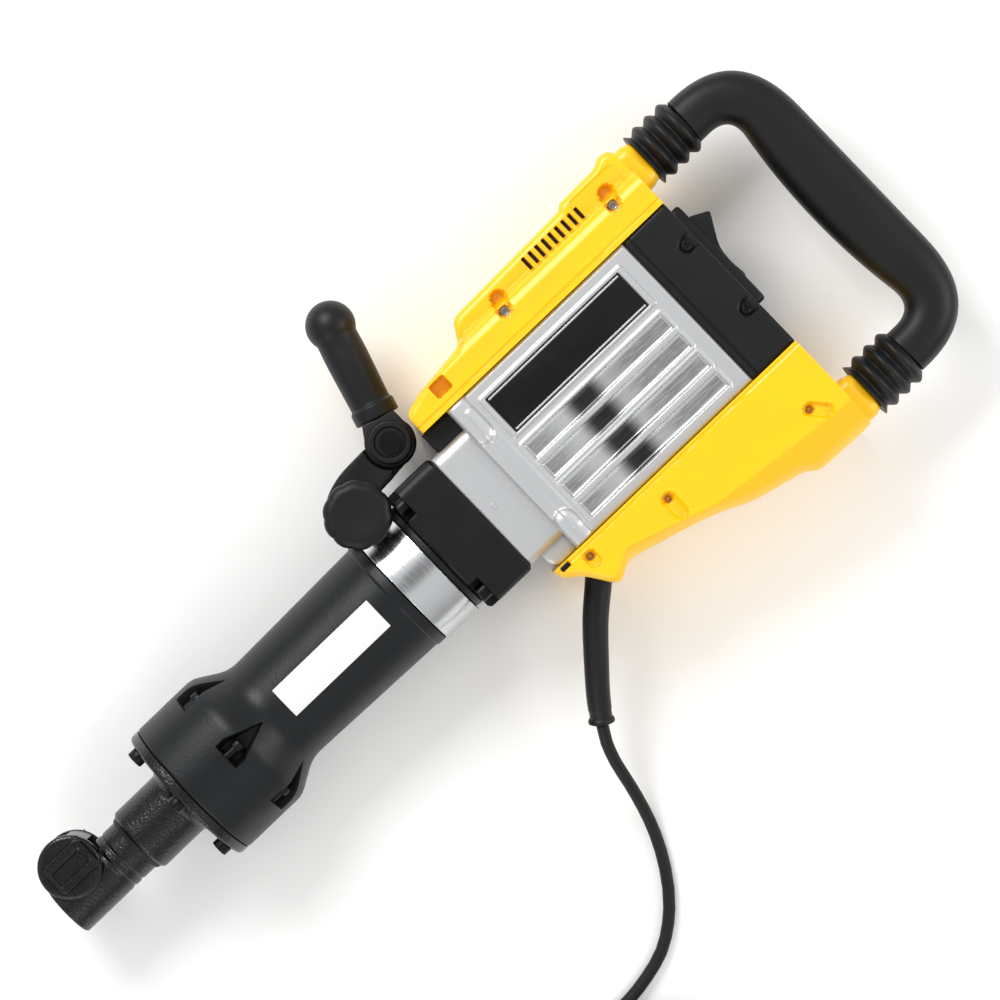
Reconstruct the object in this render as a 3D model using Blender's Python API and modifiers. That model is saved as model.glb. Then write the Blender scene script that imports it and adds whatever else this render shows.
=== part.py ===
"""Demolition hammer lying on its side on a flat surface.

The tool axis runs along X with the hex socket at -X and the D-handle at +X. +Y is the
side that carries the side grip, and +Z is up. The origin is on the surface that the
tool lies on, below the middle of its length and width. All sizes are in metres.
"""
import math

import bmesh
import bpy
from mathutils import Matrix, Vector

# Fit between pieces that touch, and the running clearance of round pieces.
GAP = 0.0003
RUNNING = 0.0002

# Body sizes. COVER_HALF_W is half the tool's width, so it is also its axis height.
COVER_HALF_W = 0.0627
HOUSING_HALF_W = 0.0580
AXIS_Y = -0.0182
AXIS_Z = COVER_HALF_W
BODY_TOP = 0.0490
BODY_BOTTOM = -0.0826
HOUSING_FRONT = 0.0532
HOUSING_LEN = 0.1687
HOUSING_WALL = 0.0055
REAR_LEN = 0.0396
REAR_WALL = 0.0045
NECK_LEN = 0.0312
NECK_HALF = 0.0508
BLOCK_LEN = 0.0410
BLOCK_HALF = 0.0529
COVER_WALL = 0.0040

# Barrel and nose.
BARREL_LEN = 0.2396
BARREL_FLANGE_R = 0.0567
BARREL_FLANGE_LEN = 0.0523
BARREL_NECK_R = 0.0427
BARREL_REAR_R = 0.0455
BARREL_CONE_LEN = 0.0282
BAND_W = 0.0294
BAND_T = 0.0027
BAND_SEAT_R = 0.0450
BARREL_COLLAR_LEN = 0.0064
PLATE_T = 0.0076
SLEEVE_LEN = 0.0462
SLEEVE_R = 0.0259
NOSE_LEN = 0.0694
HOLDER_R = 0.0215
HEX_FLATS = 0.0286
FRONT_BOLTS = 6
BOLT_CIRCLE_R = 0.0495
BOLT_R = 0.0039
BOLT_HEAD_R = 0.0062
BOLT_HEAD_LEN = 0.0063
BOLT_LEN = 0.0300
PLATE_HOLE_DEPTH = 0.0270

# Retainer on the nose: a cam pin with a flat, turned by a lever.
RETAINER_BACK = 0.0250
RETAINER_OFFSET = 0.0200
RETAINER_PIN_R = 0.0085
RETAINER_FLAT = 0.0050
RETAINER_SWING = 112.0
LUG_R = 0.0122
LEVER_R = 0.0228
LEVER_CHEEK_T = 0.0060
LEVER_BRIDGE_R = 0.0137

# Hammer mechanism.
BORE_R = 0.0300
CYLINDER_WALL = 0.0055
CYLINDER_LEN = BARREL_LEN - 0.0512
PISTON_LEN = 0.0400
CRANK_THROW = 0.0180
STRIKER_LEN = 0.0450
BEAT_R = 0.0172
ROD_BIG_R = 0.0150
WRIST_PIN_R = 0.0060

# Gears: module, tooth counts, and the layers that they lie in along Y.
MODULE = 0.0015
MOTOR_TEETH = 10
WHEEL_TEETH = 34
PINION_TEETH = 14
CRANK_TEETH = 40
GEAR_SLACK = 0.0002
GEAR_T = 0.0120
CRANK_LAYER = -0.0107
WHEEL_LAYER = 0.0180
MOTOR_X = 0.1350
ROTOR_R = 0.0270
STATOR_R = 0.0500
SHAFT_R = 0.0060

# Handles.
HANDLE_REACH = 0.1211
ARM_UPPER_Y = 0.0815
ARM_LOWER_Y = -0.1435
ARM_HALF = 0.0180
GRIP_T = 0.0460
HANDLE_HALF_Z = 0.0185
BELLOWS_LEN = 0.0377
BELLOWS_R = 0.0226
BELLOWS_BORE = 0.0155
SLIDE_ROD_R = 0.0070
COLLAR_LEN = 0.0154
KNOB_Y = 0.0399
KNOB_R = 0.0245
KNUCKLE_X = 0.0100
KNUCKLE_Y = 0.0618
KNUCKLE_R = 0.0182
GRIP_LEAN = 16.6
GRIP_LEN = 0.0928
GRIP_R = 0.0155
GRIP_BALL_R = 0.0180
TONGUE_HALF = 0.0060
BRACKET_HALF = 0.0140

# Cord.
CORD_R = 0.0045
BOOT_R = 0.0098
COIL_CENTRE = (-0.1800, -0.4220)
COIL_MID_R = 0.0540
COIL_HALF_W = 0.0184
COIL_H = 0.0184

# Stations along X that follow from the sizes above.
X_NECK = HOUSING_FRONT - GAP - NECK_LEN
X_BLOCK = X_NECK - GAP - BLOCK_LEN
X_BARREL_END = X_BLOCK - GAP
X_BARREL = X_BARREL_END - BARREL_LEN
X_PLATE = X_BARREL - GAP - PLATE_T
X_SLEEVE = X_PLATE - SLEEVE_LEN
X_TIP = X_SLEEVE - NOSE_LEN
X_BAND = X_BARREL_END - BARREL_COLLAR_LEN - BAND_W
X_REAR = HOUSING_FRONT + HOUSING_LEN + GAP
X_BACK = X_REAR + REAR_LEN
X_COLLAR = X_BACK + COLLAR_LEN
X_ARM = X_COLLAR + GAP + BELLOWS_LEN + GAP
X_GRIP = X_BACK + HANDLE_REACH
KNOB_X = X_BAND + BAND_W / 2

# Finishes: colour, roughness, metallic.
YELLOW = ((0.90, 0.58, 0.0), 0.42, 0.0)
SILVER = ((0.49, 0.49, 0.49), 0.45, 0.9)
BLACK = ((0.014, 0.015, 0.017), 0.5, 0.0)
RUBBER = ((0.010, 0.011, 0.012), 0.75, 0.0)
CASTING = ((0.022, 0.024, 0.028), 0.45, 0.4)
GLOSS_BLACK = ((0.006, 0.006, 0.007), 0.22, 0.3)
STAINLESS = ((0.62, 0.61, 0.58), 0.22, 1.0)
STEEL = ((0.40, 0.40, 0.41), 0.35, 1.0)
COPPER = ((0.55, 0.26, 0.12), 0.4, 1.0)

for old in list(bpy.data.objects):
    bpy.data.objects.remove(old, do_unlink=True)

PARTS = bpy.data.collections.new("demolition_hammer")
CUTTERS = bpy.data.collections.new("cutters")
bpy.context.scene.collection.children.link(PARTS)
bpy.context.scene.collection.children.link(CUTTERS)


def part(name, obj, finish):
    """Name a finished piece, give it its own material and put it in the part's collection."""
    colour, roughness, metallic = finish
    material = bpy.data.materials.new(name)
    material.use_nodes = True
    shader = material.node_tree.nodes["Principled BSDF"]
    shader.inputs["Base Color"].default_value = (*colour, 1.0)
    shader.inputs["Roughness"].default_value = roughness
    shader.inputs["Metallic"].default_value = metallic
    obj.name = name
    obj.data.materials.clear()
    obj.data.materials.append(material)
    PARTS.objects.link(obj)
    return obj


def boolean(obj, operation, others):
    """Cut or join pieces with EXACT Booleans. The other pieces become helpers."""
    for other in others:
        CUTTERS.objects.link(other)
        other.hide_render = True
        other.display_type = "WIRE"
        step = obj.modifiers.new(operation.lower(), "BOOLEAN")
        step.operation = operation
        step.object = other
    return obj


def cut(obj, *others):
    return boolean(obj, "DIFFERENCE", others)


def join(obj, *others):
    return boolean(obj, "UNION", others)


def from_bmesh(shape):
    mesh = bpy.data.meshes.new("shape")
    shape.to_mesh(mesh)
    shape.free()
    return bpy.data.objects.new("shape", mesh)


def bevelled(obj, width, segments=2):
    if width:
        edge = obj.modifiers.new("bevel", "BEVEL")
        edge.width = width
        edge.segments = segments
        edge.limit_method = "ANGLE"
        edge.angle_limit = math.radians(40)
    return obj


def block(low, high, bevel=0.0, segments=2):
    """A box between two corners, with rounded edges."""
    low, high = Vector(low), Vector(high)
    shape = bmesh.new()
    bmesh.ops.create_cube(shape, size=1.0)
    bmesh.ops.scale(shape, vec=high - low, verts=shape.verts)
    bmesh.ops.translate(shape, vec=(low + high) / 2, verts=shape.verts)
    return bevelled(from_bmesh(shape), bevel, segments)


def side_block(x, y, half_z, bevel=0.0, segments=2):
    """A box that is symmetric about the tool's middle plane."""
    low = (x[0], y[0], AXIS_Z - half_z)
    return block(low, (x[1], y[1], AXIS_Z + half_z), bevel, segments)


def rod(start, end, radius, sides=24):
    """A round bar between two points."""
    start, end = Vector(start), Vector(end)
    turn = Vector((0, 0, 1)).rotation_difference(end - start).to_matrix().to_4x4()
    shape = bmesh.new()
    bmesh.ops.create_cone(
        shape, cap_ends=True, segments=sides, radius1=radius, radius2=radius,
        depth=(end - start).length, matrix=Matrix.Translation((start + end) / 2) @ turn,
    )
    return from_bmesh(shape)


def turned(profile, place, direction, steps=32):
    """A turned piece: (height, radius) points run down its outer side from the high end.

    Heights are measured from place along direction. A profile that starts on the axis
    is a solid bar, and any other is a closed ring section.
    """
    shape = bmesh.new()
    points = [shape.verts.new((radius, 0.0, height)) for height, radius in profile]
    for first, second in zip(points, points[1:]):
        shape.edges.new((first, second))
    if profile[0][1] > 0:
        shape.edges.new((points[-1], points[0]))
    obj = from_bmesh(shape)
    screw = obj.modifiers.new("screw", "SCREW")
    screw.steps = screw.render_steps = steps
    screw.use_merge_vertices = True
    screw.merge_threshold = 0.00001
    turn = Vector((0, 0, 1)).rotation_difference(Vector(direction))
    obj.matrix_world = Matrix.Translation(place) @ turn.to_matrix().to_4x4()
    return obj


def on_axis(profile, steps=32):
    """A piece turned about the tool axis. Heights are X stations, from the rear forwards."""
    return turned(profile, (0.0, AXIS_Y, AXIS_Z), (1, 0, 0), steps)


def slab(outline, low_z, high_z, bevel=0.0, segments=2):
    """A flat outline in X and Y with a thickness along Z."""
    curve = bpy.data.curves.new("outline", "CURVE")
    curve.dimensions = "2D"
    curve.fill_mode = "BOTH"
    curve.extrude = (high_z - low_z) / 2
    spline = curve.splines.new("POLY")
    spline.points.add(len(outline) - 1)
    for point, (x, y) in zip(spline.points, outline):
        point.co = (x, y, 0.0, 1.0)
    spline.use_cyclic_u = True
    flat = bpy.data.objects.new("outline", curve)
    bpy.context.scene.collection.objects.link(flat)
    flat.location.z = (low_z + high_z) / 2
    bpy.context.view_layer.update()
    mesh = bpy.data.meshes.new_from_object(flat.evaluated_get(bpy.context.evaluated_depsgraph_get()))
    mesh.transform(flat.matrix_world)
    bpy.data.objects.remove(flat, do_unlink=True)
    shape = bmesh.new()
    shape.from_mesh(mesh)
    bmesh.ops.remove_doubles(shape, verts=shape.verts, dist=0.00001)
    bmesh.ops.dissolve_limit(
        shape, angle_limit=0.01, verts=shape.verts, edges=shape.edges)
    bmesh.ops.recalc_face_normals(shape, faces=shape.faces)
    return bevelled(from_bmesh(shape), bevel, segments)


def mid_slab(outline, half_z, bevel=0.0, segments=2):
    return slab(outline, AXIS_Z - half_z, AXIS_Z + half_z, bevel, segments)


def arc(centre, radius, start, end, count):
    """Points on an arc, with both ends. Angles are in degrees from +X."""
    angles = [math.radians(start + (end - start) * i / count) for i in range(count + 1)]
    return [(centre[0] + radius * math.cos(a), centre[1] + radius * math.sin(a)) for a in angles]


def tube(points, radius, sides_quarter=2, radii=None):
    """A round cord or boot along points."""
    curve = bpy.data.curves.new("tube", "CURVE")
    curve.dimensions = "3D"
    curve.bevel_depth = radius
    curve.bevel_resolution = sides_quarter
    curve.use_fill_caps = True
    spline = curve.splines.new("POLY")
    spline.points.add(len(points) - 1)
    for i, place in enumerate(points):
        spline.points[i].co = (*place, 1.0)
        spline.points[i].radius = radii[i] if radii else 1.0
    return bpy.data.objects.new("tube", curve)


def smooth_path(knots, spacing):
    """Points a set spacing apart, near enough, on a Catmull-Rom curve through the knots."""
    knots = [Vector(k) for k in knots]
    ends = [2 * knots[0] - knots[1]] + knots + [2 * knots[-1] - knots[-2]]
    path = [knots[0]]
    for a, b, c, d in zip(ends, ends[1:], ends[2:], ends[3:]):
        count = max(1, round((c - b).length / spacing))
        for i in range(1, count + 1):
            t = i / count
            path.append(0.5 * (2 * b + (c - a) * t + (2 * a - 5 * b + 4 * c - d) * t * t
                               + (3 * b - a - 3 * c + d) * t ** 3))
    return path


# ---- Tool holder: a round casting with a hex socket, and a lug for the retainer pin.
RETAINER_X = X_TIP + RETAINER_BACK
RETAINER_Y = AXIS_Y + RETAINER_OFFSET
HOLDER_FLANGE_R = HOLDER_R + 0.0055
X_HOLDER_END = X_BARREL - GAP
X_HOLDER_FLANGE = X_HOLDER_END - 0.0034
holder = part("tool_holder", on_axis([
    (X_HOLDER_END, 0.0), (X_HOLDER_END, HOLDER_FLANGE_R), (X_HOLDER_FLANGE, HOLDER_FLANGE_R),
    (X_HOLDER_FLANGE, HOLDER_R), (X_TIP + 0.002, HOLDER_R), (X_TIP, HOLDER_R - 0.0015), (X_TIP, 0.0),
]), GLOSS_BLACK)
LUG_HALF = HOLDER_R + 0.0002
join(holder, rod((RETAINER_X, RETAINER_Y, AXIS_Z - LUG_HALF),
                 (RETAINER_X, RETAINER_Y, AXIS_Z + LUG_HALF), LUG_R))
socket = rod((X_TIP - 0.01, AXIS_Y, AXIS_Z), (X_HOLDER_END + 0.01, AXIS_Y, AXIS_Z),
             HEX_FLATS / math.sqrt(3), 6)
cut(holder, socket, rod((RETAINER_X, RETAINER_Y, AXIS_Z - 0.04),
                        (RETAINER_X, RETAINER_Y, AXIS_Z + 0.04), RETAINER_PIN_R + RUNNING))

# ---- Retainer pin: a bar across the socket's edge, with the flat that lets a shank pass.
CHEEK_Z = LUG_HALF + GAP
PIN_HALF = CHEEK_Z + LEVER_CHEEK_T
FLAT_TURN = math.radians(270.0 - RETAINER_SWING)
pin_centre = Vector((RETAINER_X, RETAINER_Y, AXIS_Z))
pin = rod(pin_centre - Vector((0, 0, PIN_HALF)), pin_centre + Vector((0, 0, PIN_HALF)), RETAINER_PIN_R)
flat = block((RETAINER_FLAT, -0.02, -HOLDER_R * 0.8), (0.03, 0.02, HOLDER_R * 0.8))
flat.matrix_world = Matrix.Translation(pin_centre) @ Matrix.Rotation(FLAT_TURN, 4, "Z")
part("retainer_pin", cut(pin, flat), STEEL)

# ---- Retainer lever: two round cheeks, one at each side of the nose, and the bridge between.
lever = slab(arc((RETAINER_X, RETAINER_Y), LEVER_R, 0, 348, 29), AXIS_Z - PIN_HALF, AXIS_Z + PIN_HALF)
middle = slab(arc((RETAINER_X, RETAINER_Y), LEVER_R + 0.005, 0, 345, 23), AXIS_Z - CHEEK_Z, AXIS_Z + CHEEK_Z)
BRIDGE_START, BRIDGE_END = 16.0, 56.0
bridge = slab(arc((RETAINER_X, RETAINER_Y), LEVER_R - 0.0008, BRIDGE_START, BRIDGE_END, 6)
              + arc((RETAINER_X, RETAINER_Y), LEVER_BRIDGE_R, BRIDGE_END, BRIDGE_START, 6),
              AXIS_Z - CHEEK_Z - 0.001, AXIS_Z + CHEEK_Z + 0.001)
eye = rod(pin_centre - Vector((0, 0, 0.05)), pin_centre + Vector((0, 0, 0.05)), RETAINER_PIN_R + GAP)
part("retainer_lever", join(cut(lever, middle, eye), bridge), GLOSS_BLACK)

# ---- Nose housing: a sleeve that flares into the front plate, with six screw holes.
SLEEVE_BORE = HOLDER_R + GAP
COUNTERBORE = HOLDER_FLANGE_R + GAP
X_PLATE_END = X_PLATE + PLATE_T
FLARE_R = 0.0060
flare = [(X_PLATE - FLARE_R + FLARE_R * math.sin(a), SLEEVE_R + FLARE_R - FLARE_R * math.cos(a))
         for a in (math.radians(72), math.radians(48), math.radians(24), 0.0)]
PLATE_R = BARREL_FLANGE_R - 0.0006
nose = part("nose_housing", on_axis([
    (X_PLATE_END, COUNTERBORE), (X_PLATE_END, PLATE_R), (X_PLATE, PLATE_R - 0.0008), (X_PLATE, SLEEVE_R + FLARE_R),
    *flare, (X_SLEEVE + 0.002, SLEEVE_R), (X_SLEEVE, SLEEVE_R - 0.002), (X_SLEEVE, SLEEVE_BORE),
    (X_HOLDER_FLANGE - GAP, SLEEVE_BORE), (X_HOLDER_FLANGE - GAP, COUNTERBORE),
], 36), CASTING)


def bolt_places(radius, count, first=90.0):
    """Places round the tool axis: one faces +Z."""
    for i in range(count):
        turn = math.radians(first + 360.0 * i / count)
        yield Vector((0.0, AXIS_Y + radius * math.cos(turn), AXIS_Z + radius * math.sin(turn)))


for place in bolt_places(BOLT_CIRCLE_R, FRONT_BOLTS):
    cut(nose, rod(place + Vector((X_PLATE - 0.01, 0, 0)), place + Vector((X_PLATE_END + 0.01, 0, 0)),
                  BOLT_R + GAP, 12))

# ---- Front seal: a rubber lip round the holder at the sleeve's mouth.
part("front_seal", on_axis([
    (X_SLEEVE - GAP, SLEEVE_BORE), (X_SLEEVE - GAP, SLEEVE_R - 0.0024), (X_SLEEVE - 0.0030, SLEEVE_BORE + 0.0007),
    (X_SLEEVE - 0.0030, SLEEVE_BORE)], 24), RUBBER)

# ---- Front screws: cap heads on the plate, threaded into the barrel flange.
for number, place in enumerate(bolt_places(BOLT_CIRCLE_R, FRONT_BOLTS), 1):
    head = X_PLATE - GAP
    screw = turned([(head + BOLT_LEN, 0.0), (head + BOLT_LEN, BOLT_R), (head, BOLT_R), (head, BOLT_HEAD_R),
                    (head - BOLT_HEAD_LEN, BOLT_HEAD_R), (head - BOLT_HEAD_LEN, 0.0)], place, (1, 0, 0), 12)
    part(f"front_screw_{number}", screw, STEEL)

# ---- Barrel: flange, cone, tapered body, lip, band seat and rear collar, with six screw pockets.
CYLINDER_R = BORE_R + CYLINDER_WALL
BARREL_BORE = CYLINDER_R + GAP
X_FLANGE_END = X_BARREL + BARREL_FLANGE_LEN
X_CONE_END = X_FLANGE_END + BARREL_CONE_LEN
X_LIP = X_BAND - GAP - 0.0077
barrel = part("barrel", on_axis([
    (X_BARREL_END, BARREL_BORE), (X_BARREL_END, BAND_SEAT_R + 0.001), (X_BAND + BAND_W + GAP, BAND_SEAT_R + 0.001),
    (X_BAND + BAND_W + GAP, BAND_SEAT_R), (X_BAND - GAP, BAND_SEAT_R), (X_BAND - GAP, BARREL_REAR_R + 0.001),
    (X_LIP, BARREL_REAR_R + 0.001), (X_LIP, BARREL_REAR_R), (X_CONE_END, BARREL_NECK_R),
    (X_CONE_END - 0.007, BARREL_NECK_R + 0.001),
    (X_FLANGE_END + 0.006, BARREL_FLANGE_R - 0.0045), (X_FLANGE_END, BARREL_FLANGE_R - 0.0008),
    (X_FLANGE_END - 0.004, BARREL_FLANGE_R), (X_BARREL, BARREL_FLANGE_R), (X_BARREL, BARREL_BORE),
], 36), CASTING)
POCKET_LEN = 0.036
POCKET_HALF = 0.0105
POCKET_FLOOR_R = BARREL_NECK_R
X_POCKET = X_FLANGE_END - 0.0160
pocket_outline = [(X_POCKET, -POCKET_HALF), (X_POCKET, POCKET_HALF), (X_POCKET + 0.008, POCKET_HALF),
                  (X_POCKET + POCKET_LEN, 0.0), (X_POCKET + 0.008, -POCKET_HALF)]
for i, place in enumerate(bolt_places(BOLT_CIRCLE_R, FRONT_BOLTS)):
    cut(barrel, rod(place + Vector((X_BARREL - 0.01, 0, 0)), place + Vector((X_BARREL + PLATE_HOLE_DEPTH, 0, 0)),
                    BOLT_R + GAP, 12))
    pocket = slab(pocket_outline, POCKET_FLOOR_R, BARREL_FLANGE_R + 0.01)
    pocket.matrix_world = (Matrix.Translation((0, AXIS_Y, AXIS_Z))
                           @ Matrix.Rotation(math.radians(360.0 * i / FRONT_BOLTS), 4, "X"))
    cut(barrel, pocket)

# ---- Hammer mechanism on the tool axis: guide, beat piece, cylinder, striker, piston.
X_GUIDE = X_BARREL + 0.002
GUIDE_LEN = 0.0672
X_CYLINDER = X_GUIDE + GUIDE_LEN + GAP
BEAT_STROKE = 0.0080
X_BEAT = X_GUIDE + BEAT_STROKE + 0.0005
part("beat_piece_guide", on_axis([
    (X_GUIDE + GUIDE_LEN, BEAT_R + RUNNING), (X_GUIDE + GUIDE_LEN, CYLINDER_R), (X_GUIDE, CYLINDER_R),
    (X_GUIDE, BEAT_R + RUNNING)]), STEEL)
BEAT_LEN = 0.0500
BEAT_NOSE_R = HEX_FLATS / 2 - 0.0008
part("beat_piece", on_axis([
    (X_BEAT + BEAT_LEN, 0.0), (X_BEAT + BEAT_LEN, BEAT_R - 0.002), (X_BEAT + BEAT_LEN - 0.002, BEAT_R),
    (X_BEAT, BEAT_R), (X_BEAT, BEAT_NOSE_R), (X_BEAT - 0.019, BEAT_NOSE_R), (X_BEAT - 0.019, 0.0),
], 24), STEEL)
part("cylinder_sleeve", on_axis([
    (X_CYLINDER + CYLINDER_LEN, BORE_R), (X_CYLINDER + CYLINDER_LEN, CYLINDER_R), (X_CYLINDER, CYLINDER_R),
    (X_CYLINDER, BORE_R)], 32), STEEL)
SLIDER_R = BORE_R - RUNNING
STRIKER_STROKE = 0.0180
X_STRIKER_NOSE = X_BEAT + BEAT_LEN + STRIKER_STROKE + 0.0005
STRIKER_NOSE_LEN = 0.0300
X_STRIKER = X_STRIKER_NOSE + STRIKER_NOSE_LEN
STRIKER_NOSE_R = 0.0125
RING_X = X_STRIKER + 0.020
RING_W = 0.0040
RING_DEPTH = 0.0020
part("striker", on_axis([
    (X_STRIKER + STRIKER_LEN, 0.0), (X_STRIKER + STRIKER_LEN, SLIDER_R), (RING_X + RING_W, SLIDER_R),
    (RING_X + RING_W, SLIDER_R - RING_DEPTH), (RING_X, SLIDER_R - RING_DEPTH), (RING_X, SLIDER_R),
    (X_STRIKER, SLIDER_R), (X_STRIKER, STRIKER_NOSE_R), (X_STRIKER_NOSE, STRIKER_NOSE_R), (X_STRIKER_NOSE, 0.0),
], 24), STEEL)
part("striker_ring", on_axis([
    (RING_X + RING_W - GAP, SLIDER_R - RING_DEPTH + GAP), (RING_X + RING_W - GAP, SLIDER_R),
    (RING_X + GAP, SLIDER_R), (RING_X + GAP, SLIDER_R - RING_DEPTH + GAP)], 24), RUBBER)

# The crank stands at its rear dead centre, so the piston is at the rear end of its stroke.
CRANK_X = MOTOR_X - (MODULE * (MOTOR_TEETH + WHEEL_TEETH + PINION_TEETH + CRANK_TEETH)) / 2 - 2 * GEAR_SLACK
X_PISTON = X_CYLINDER + CYLINDER_LEN - 0.0204 - PISTON_LEN
WRIST_X = X_PISTON + 0.0260
PISTON_WALL = 0.0058
PISTON_CROWN = 0.0120
PISTON_BORE = SLIDER_R - PISTON_WALL
piston = part("piston", on_axis([
    (X_PISTON + PISTON_CROWN, 0.0), (X_PISTON + PISTON_CROWN, PISTON_BORE), (X_PISTON + PISTON_LEN, PISTON_BORE),
    (X_PISTON + PISTON_LEN, SLIDER_R), (X_PISTON, SLIDER_R), (X_PISTON, 0.0)], 24), STEEL)
cut(piston, rod((WRIST_X, AXIS_Y - 0.05, AXIS_Z), (WRIST_X, AXIS_Y + 0.05, AXIS_Z), WRIST_PIN_R + GAP, 16))
WRIST_HALF = SLIDER_R - 0.0022
part("wrist_pin", rod((WRIST_X, AXIS_Y - WRIST_HALF, AXIS_Z), (WRIST_X, AXIS_Y + WRIST_HALF, AXIS_Z),
                      WRIST_PIN_R, 16), STEEL)

# ---- Connecting rod: two eyes and a shank. Its big end hangs clear beside the crank pin's face.
CRANK_PIN_LEN = 0.0030
ROD_TOP = CRANK_LAYER - CRANK_PIN_LEN - GAP
ROD_T = 0.0112
CRANK_PIN_X = CRANK_X + CRANK_THROW
ROD_SMALL_R = 0.0115
rod_outline = (arc((WRIST_X, AXIS_Z), ROD_SMALL_R, 35, 325, 14)
               + arc((CRANK_PIN_X, AXIS_Z), ROD_BIG_R, 215, 505, 18))


def layer(outline, low_y, high_y):
    """A flat outline in X and Z with a thickness along Y, as on the crank and the gears."""
    half = (high_y - low_y) / 2
    obj = slab(outline, -half, half)
    obj.matrix_world = Matrix.Translation((0, (low_y + high_y) / 2, 0)) @ Matrix.Rotation(math.radians(90), 4, "X")
    return obj


def cross_rod(x, low_y, high_y, radius, sides=24):
    """A round bar along Y at the middle plane."""
    return rod((x, low_y, AXIS_Z), (x, high_y, AXIS_Z), radius, sides)


con_rod = part("connecting_rod", layer(rod_outline, ROD_TOP - ROD_T, ROD_TOP), STEEL)
cut(con_rod, cross_rod(WRIST_X, ROD_TOP - 0.05, ROD_TOP + 0.05, WRIST_PIN_R + GAP, 16),
    cross_rod(CRANK_PIN_X, ROD_TOP - 0.05, ROD_TOP + 0.05, 0.0083))

# ---- Gears: the armature's pinion drives the wheel, and the wheel's pinion drives the crank.
WHEEL_X = MOTOR_X - MODULE * (MOTOR_TEETH + WHEEL_TEETH) / 2 - GEAR_SLACK
TOOTH_TIP = 0.75
TOOTH_ROOT = 1.05


def gear(x, low_y, teeth, tooth_at):
    """A spur gear on the cross axis at x. tooth_at is the angle from +X of one tooth, in degrees."""
    pitch_r = MODULE * teeth / 2
    tip_r, root_r = pitch_r + TOOTH_TIP * MODULE, pitch_r - TOOTH_ROOT * MODULE
    step = 360.0 / teeth
    outline = []
    for i in range(teeth):
        at = tooth_at + i * step
        for radius, share in ((root_r, -0.30), (tip_r, -0.13), (tip_r, 0.13), (root_r, 0.30)):
            angle = math.radians(at + share * step)
            outline.append((x + radius * math.cos(angle), AXIS_Z + radius * math.sin(angle)))
    return layer(outline, low_y, low_y + GEAR_T)


CRANK_SHAFT_R = 0.0085
PLATE_LOW = CRANK_LAYER + GEAR_T + 0.0022
PLATE_HIGH = WHEEL_LAYER - 0.0020
crank = gear(CRANK_X, CRANK_LAYER, CRANK_TEETH, 0.0)
join(crank, cross_rod(CRANK_X, CRANK_LAYER + 0.002, PLATE_HIGH - 0.0005, CRANK_SHAFT_R),
     cross_rod(CRANK_PIN_X, CRANK_LAYER - CRANK_PIN_LEN, CRANK_LAYER + 0.002, 0.0078))
part("crank_gear", crank, STEEL)

# One tooth of each gear points along X at the gear that it drives, and meets a gap there.
PINION_GAP = 180.0 + 180.0 / PINION_TEETH
WHEEL_GAP = 180.0 / WHEEL_TEETH
WHEEL_SHAFT_R = 0.0055
wheel = gear(WHEEL_X, WHEEL_LAYER, WHEEL_TEETH, WHEEL_GAP)
join(wheel, gear(WHEEL_X, CRANK_LAYER, PINION_TEETH, PINION_GAP),
     cross_rod(WHEEL_X, CRANK_LAYER + 0.001, WHEEL_LAYER + 0.001, WHEEL_SHAFT_R))
part("intermediate_gear", wheel, STEEL)

# ---- Armature: shaft, laminations, commutator and the pinion cut on the shaft's end.
STACK_LOW = BODY_BOTTOM + 0.0076
STACK_HIGH = ROD_TOP - ROD_T - 0.0035
COMMUTATOR_LOW = STACK_LOW - 0.0210
COMMUTATOR_R = 0.0165
SHAFT_LOW = COMMUTATOR_LOW - 0.0165
armature = turned([
    (WHEEL_LAYER + 0.001, 0.0), (WHEEL_LAYER + 0.001, SHAFT_R), (STACK_HIGH, SHAFT_R), (STACK_HIGH, ROTOR_R),
    (STACK_LOW, ROTOR_R), (STACK_LOW, SHAFT_R + 0.003), (COMMUTATOR_LOW + 0.016, SHAFT_R + 0.003),
    (COMMUTATOR_LOW + 0.016, COMMUTATOR_R), (COMMUTATOR_LOW, COMMUTATOR_R), (COMMUTATOR_LOW, SHAFT_R),
    (SHAFT_LOW, SHAFT_R), (SHAFT_LOW, 0.0)], (MOTOR_X, 0.0, AXIS_Z), (0, 1, 0), 28)
join(armature, gear(MOTOR_X, WHEEL_LAYER, MOTOR_TEETH, 180.0))
part("armature", armature, COPPER)
FAN_HIGH = COMMUTATOR_LOW - 0.0015
FAN_T = 0.0070
part("cooling_fan", turned([
    (FAN_HIGH, SHAFT_R + GAP), (FAN_HIGH, 0.032), (FAN_HIGH - FAN_T, 0.030), (FAN_HIGH - FAN_T, SHAFT_R + GAP),
], (MOTOR_X, 0.0, AXIS_Z), (0, 1, 0), 28), BLACK)
part("stator", turned([
    (STACK_HIGH, ROTOR_R + 0.0006), (STACK_HIGH, STATOR_R), (STACK_LOW, STATOR_R), (STACK_LOW, ROTOR_R + 0.0006),
], (MOTOR_X, 0.0, AXIS_Z), (0, 1, 0), 36), STEEL)
part("motor_bearing", turned([
    (FAN_HIGH - FAN_T - 0.0010, SHAFT_R + GAP), (FAN_HIGH - FAN_T - 0.0010, 0.0110),
    (SHAFT_LOW, 0.0110), (SHAFT_LOW, SHAFT_R + GAP)], (MOTOR_X, 0.0, AXIS_Z), (0, 1, 0), 24), STEEL)
for name, side in (("brush_holder_front", -1), ("brush_holder_rear", 1)):
    near, far = MOTOR_X + side * (COMMUTATOR_R + 0.0008), MOTOR_X + side * (COMMUTATOR_R + 0.0230)
    part(name, side_block(sorted((near, far)), (COMMUTATOR_LOW + 0.002, COMMUTATOR_LOW + 0.014), 0.0065), COPPER)

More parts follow.
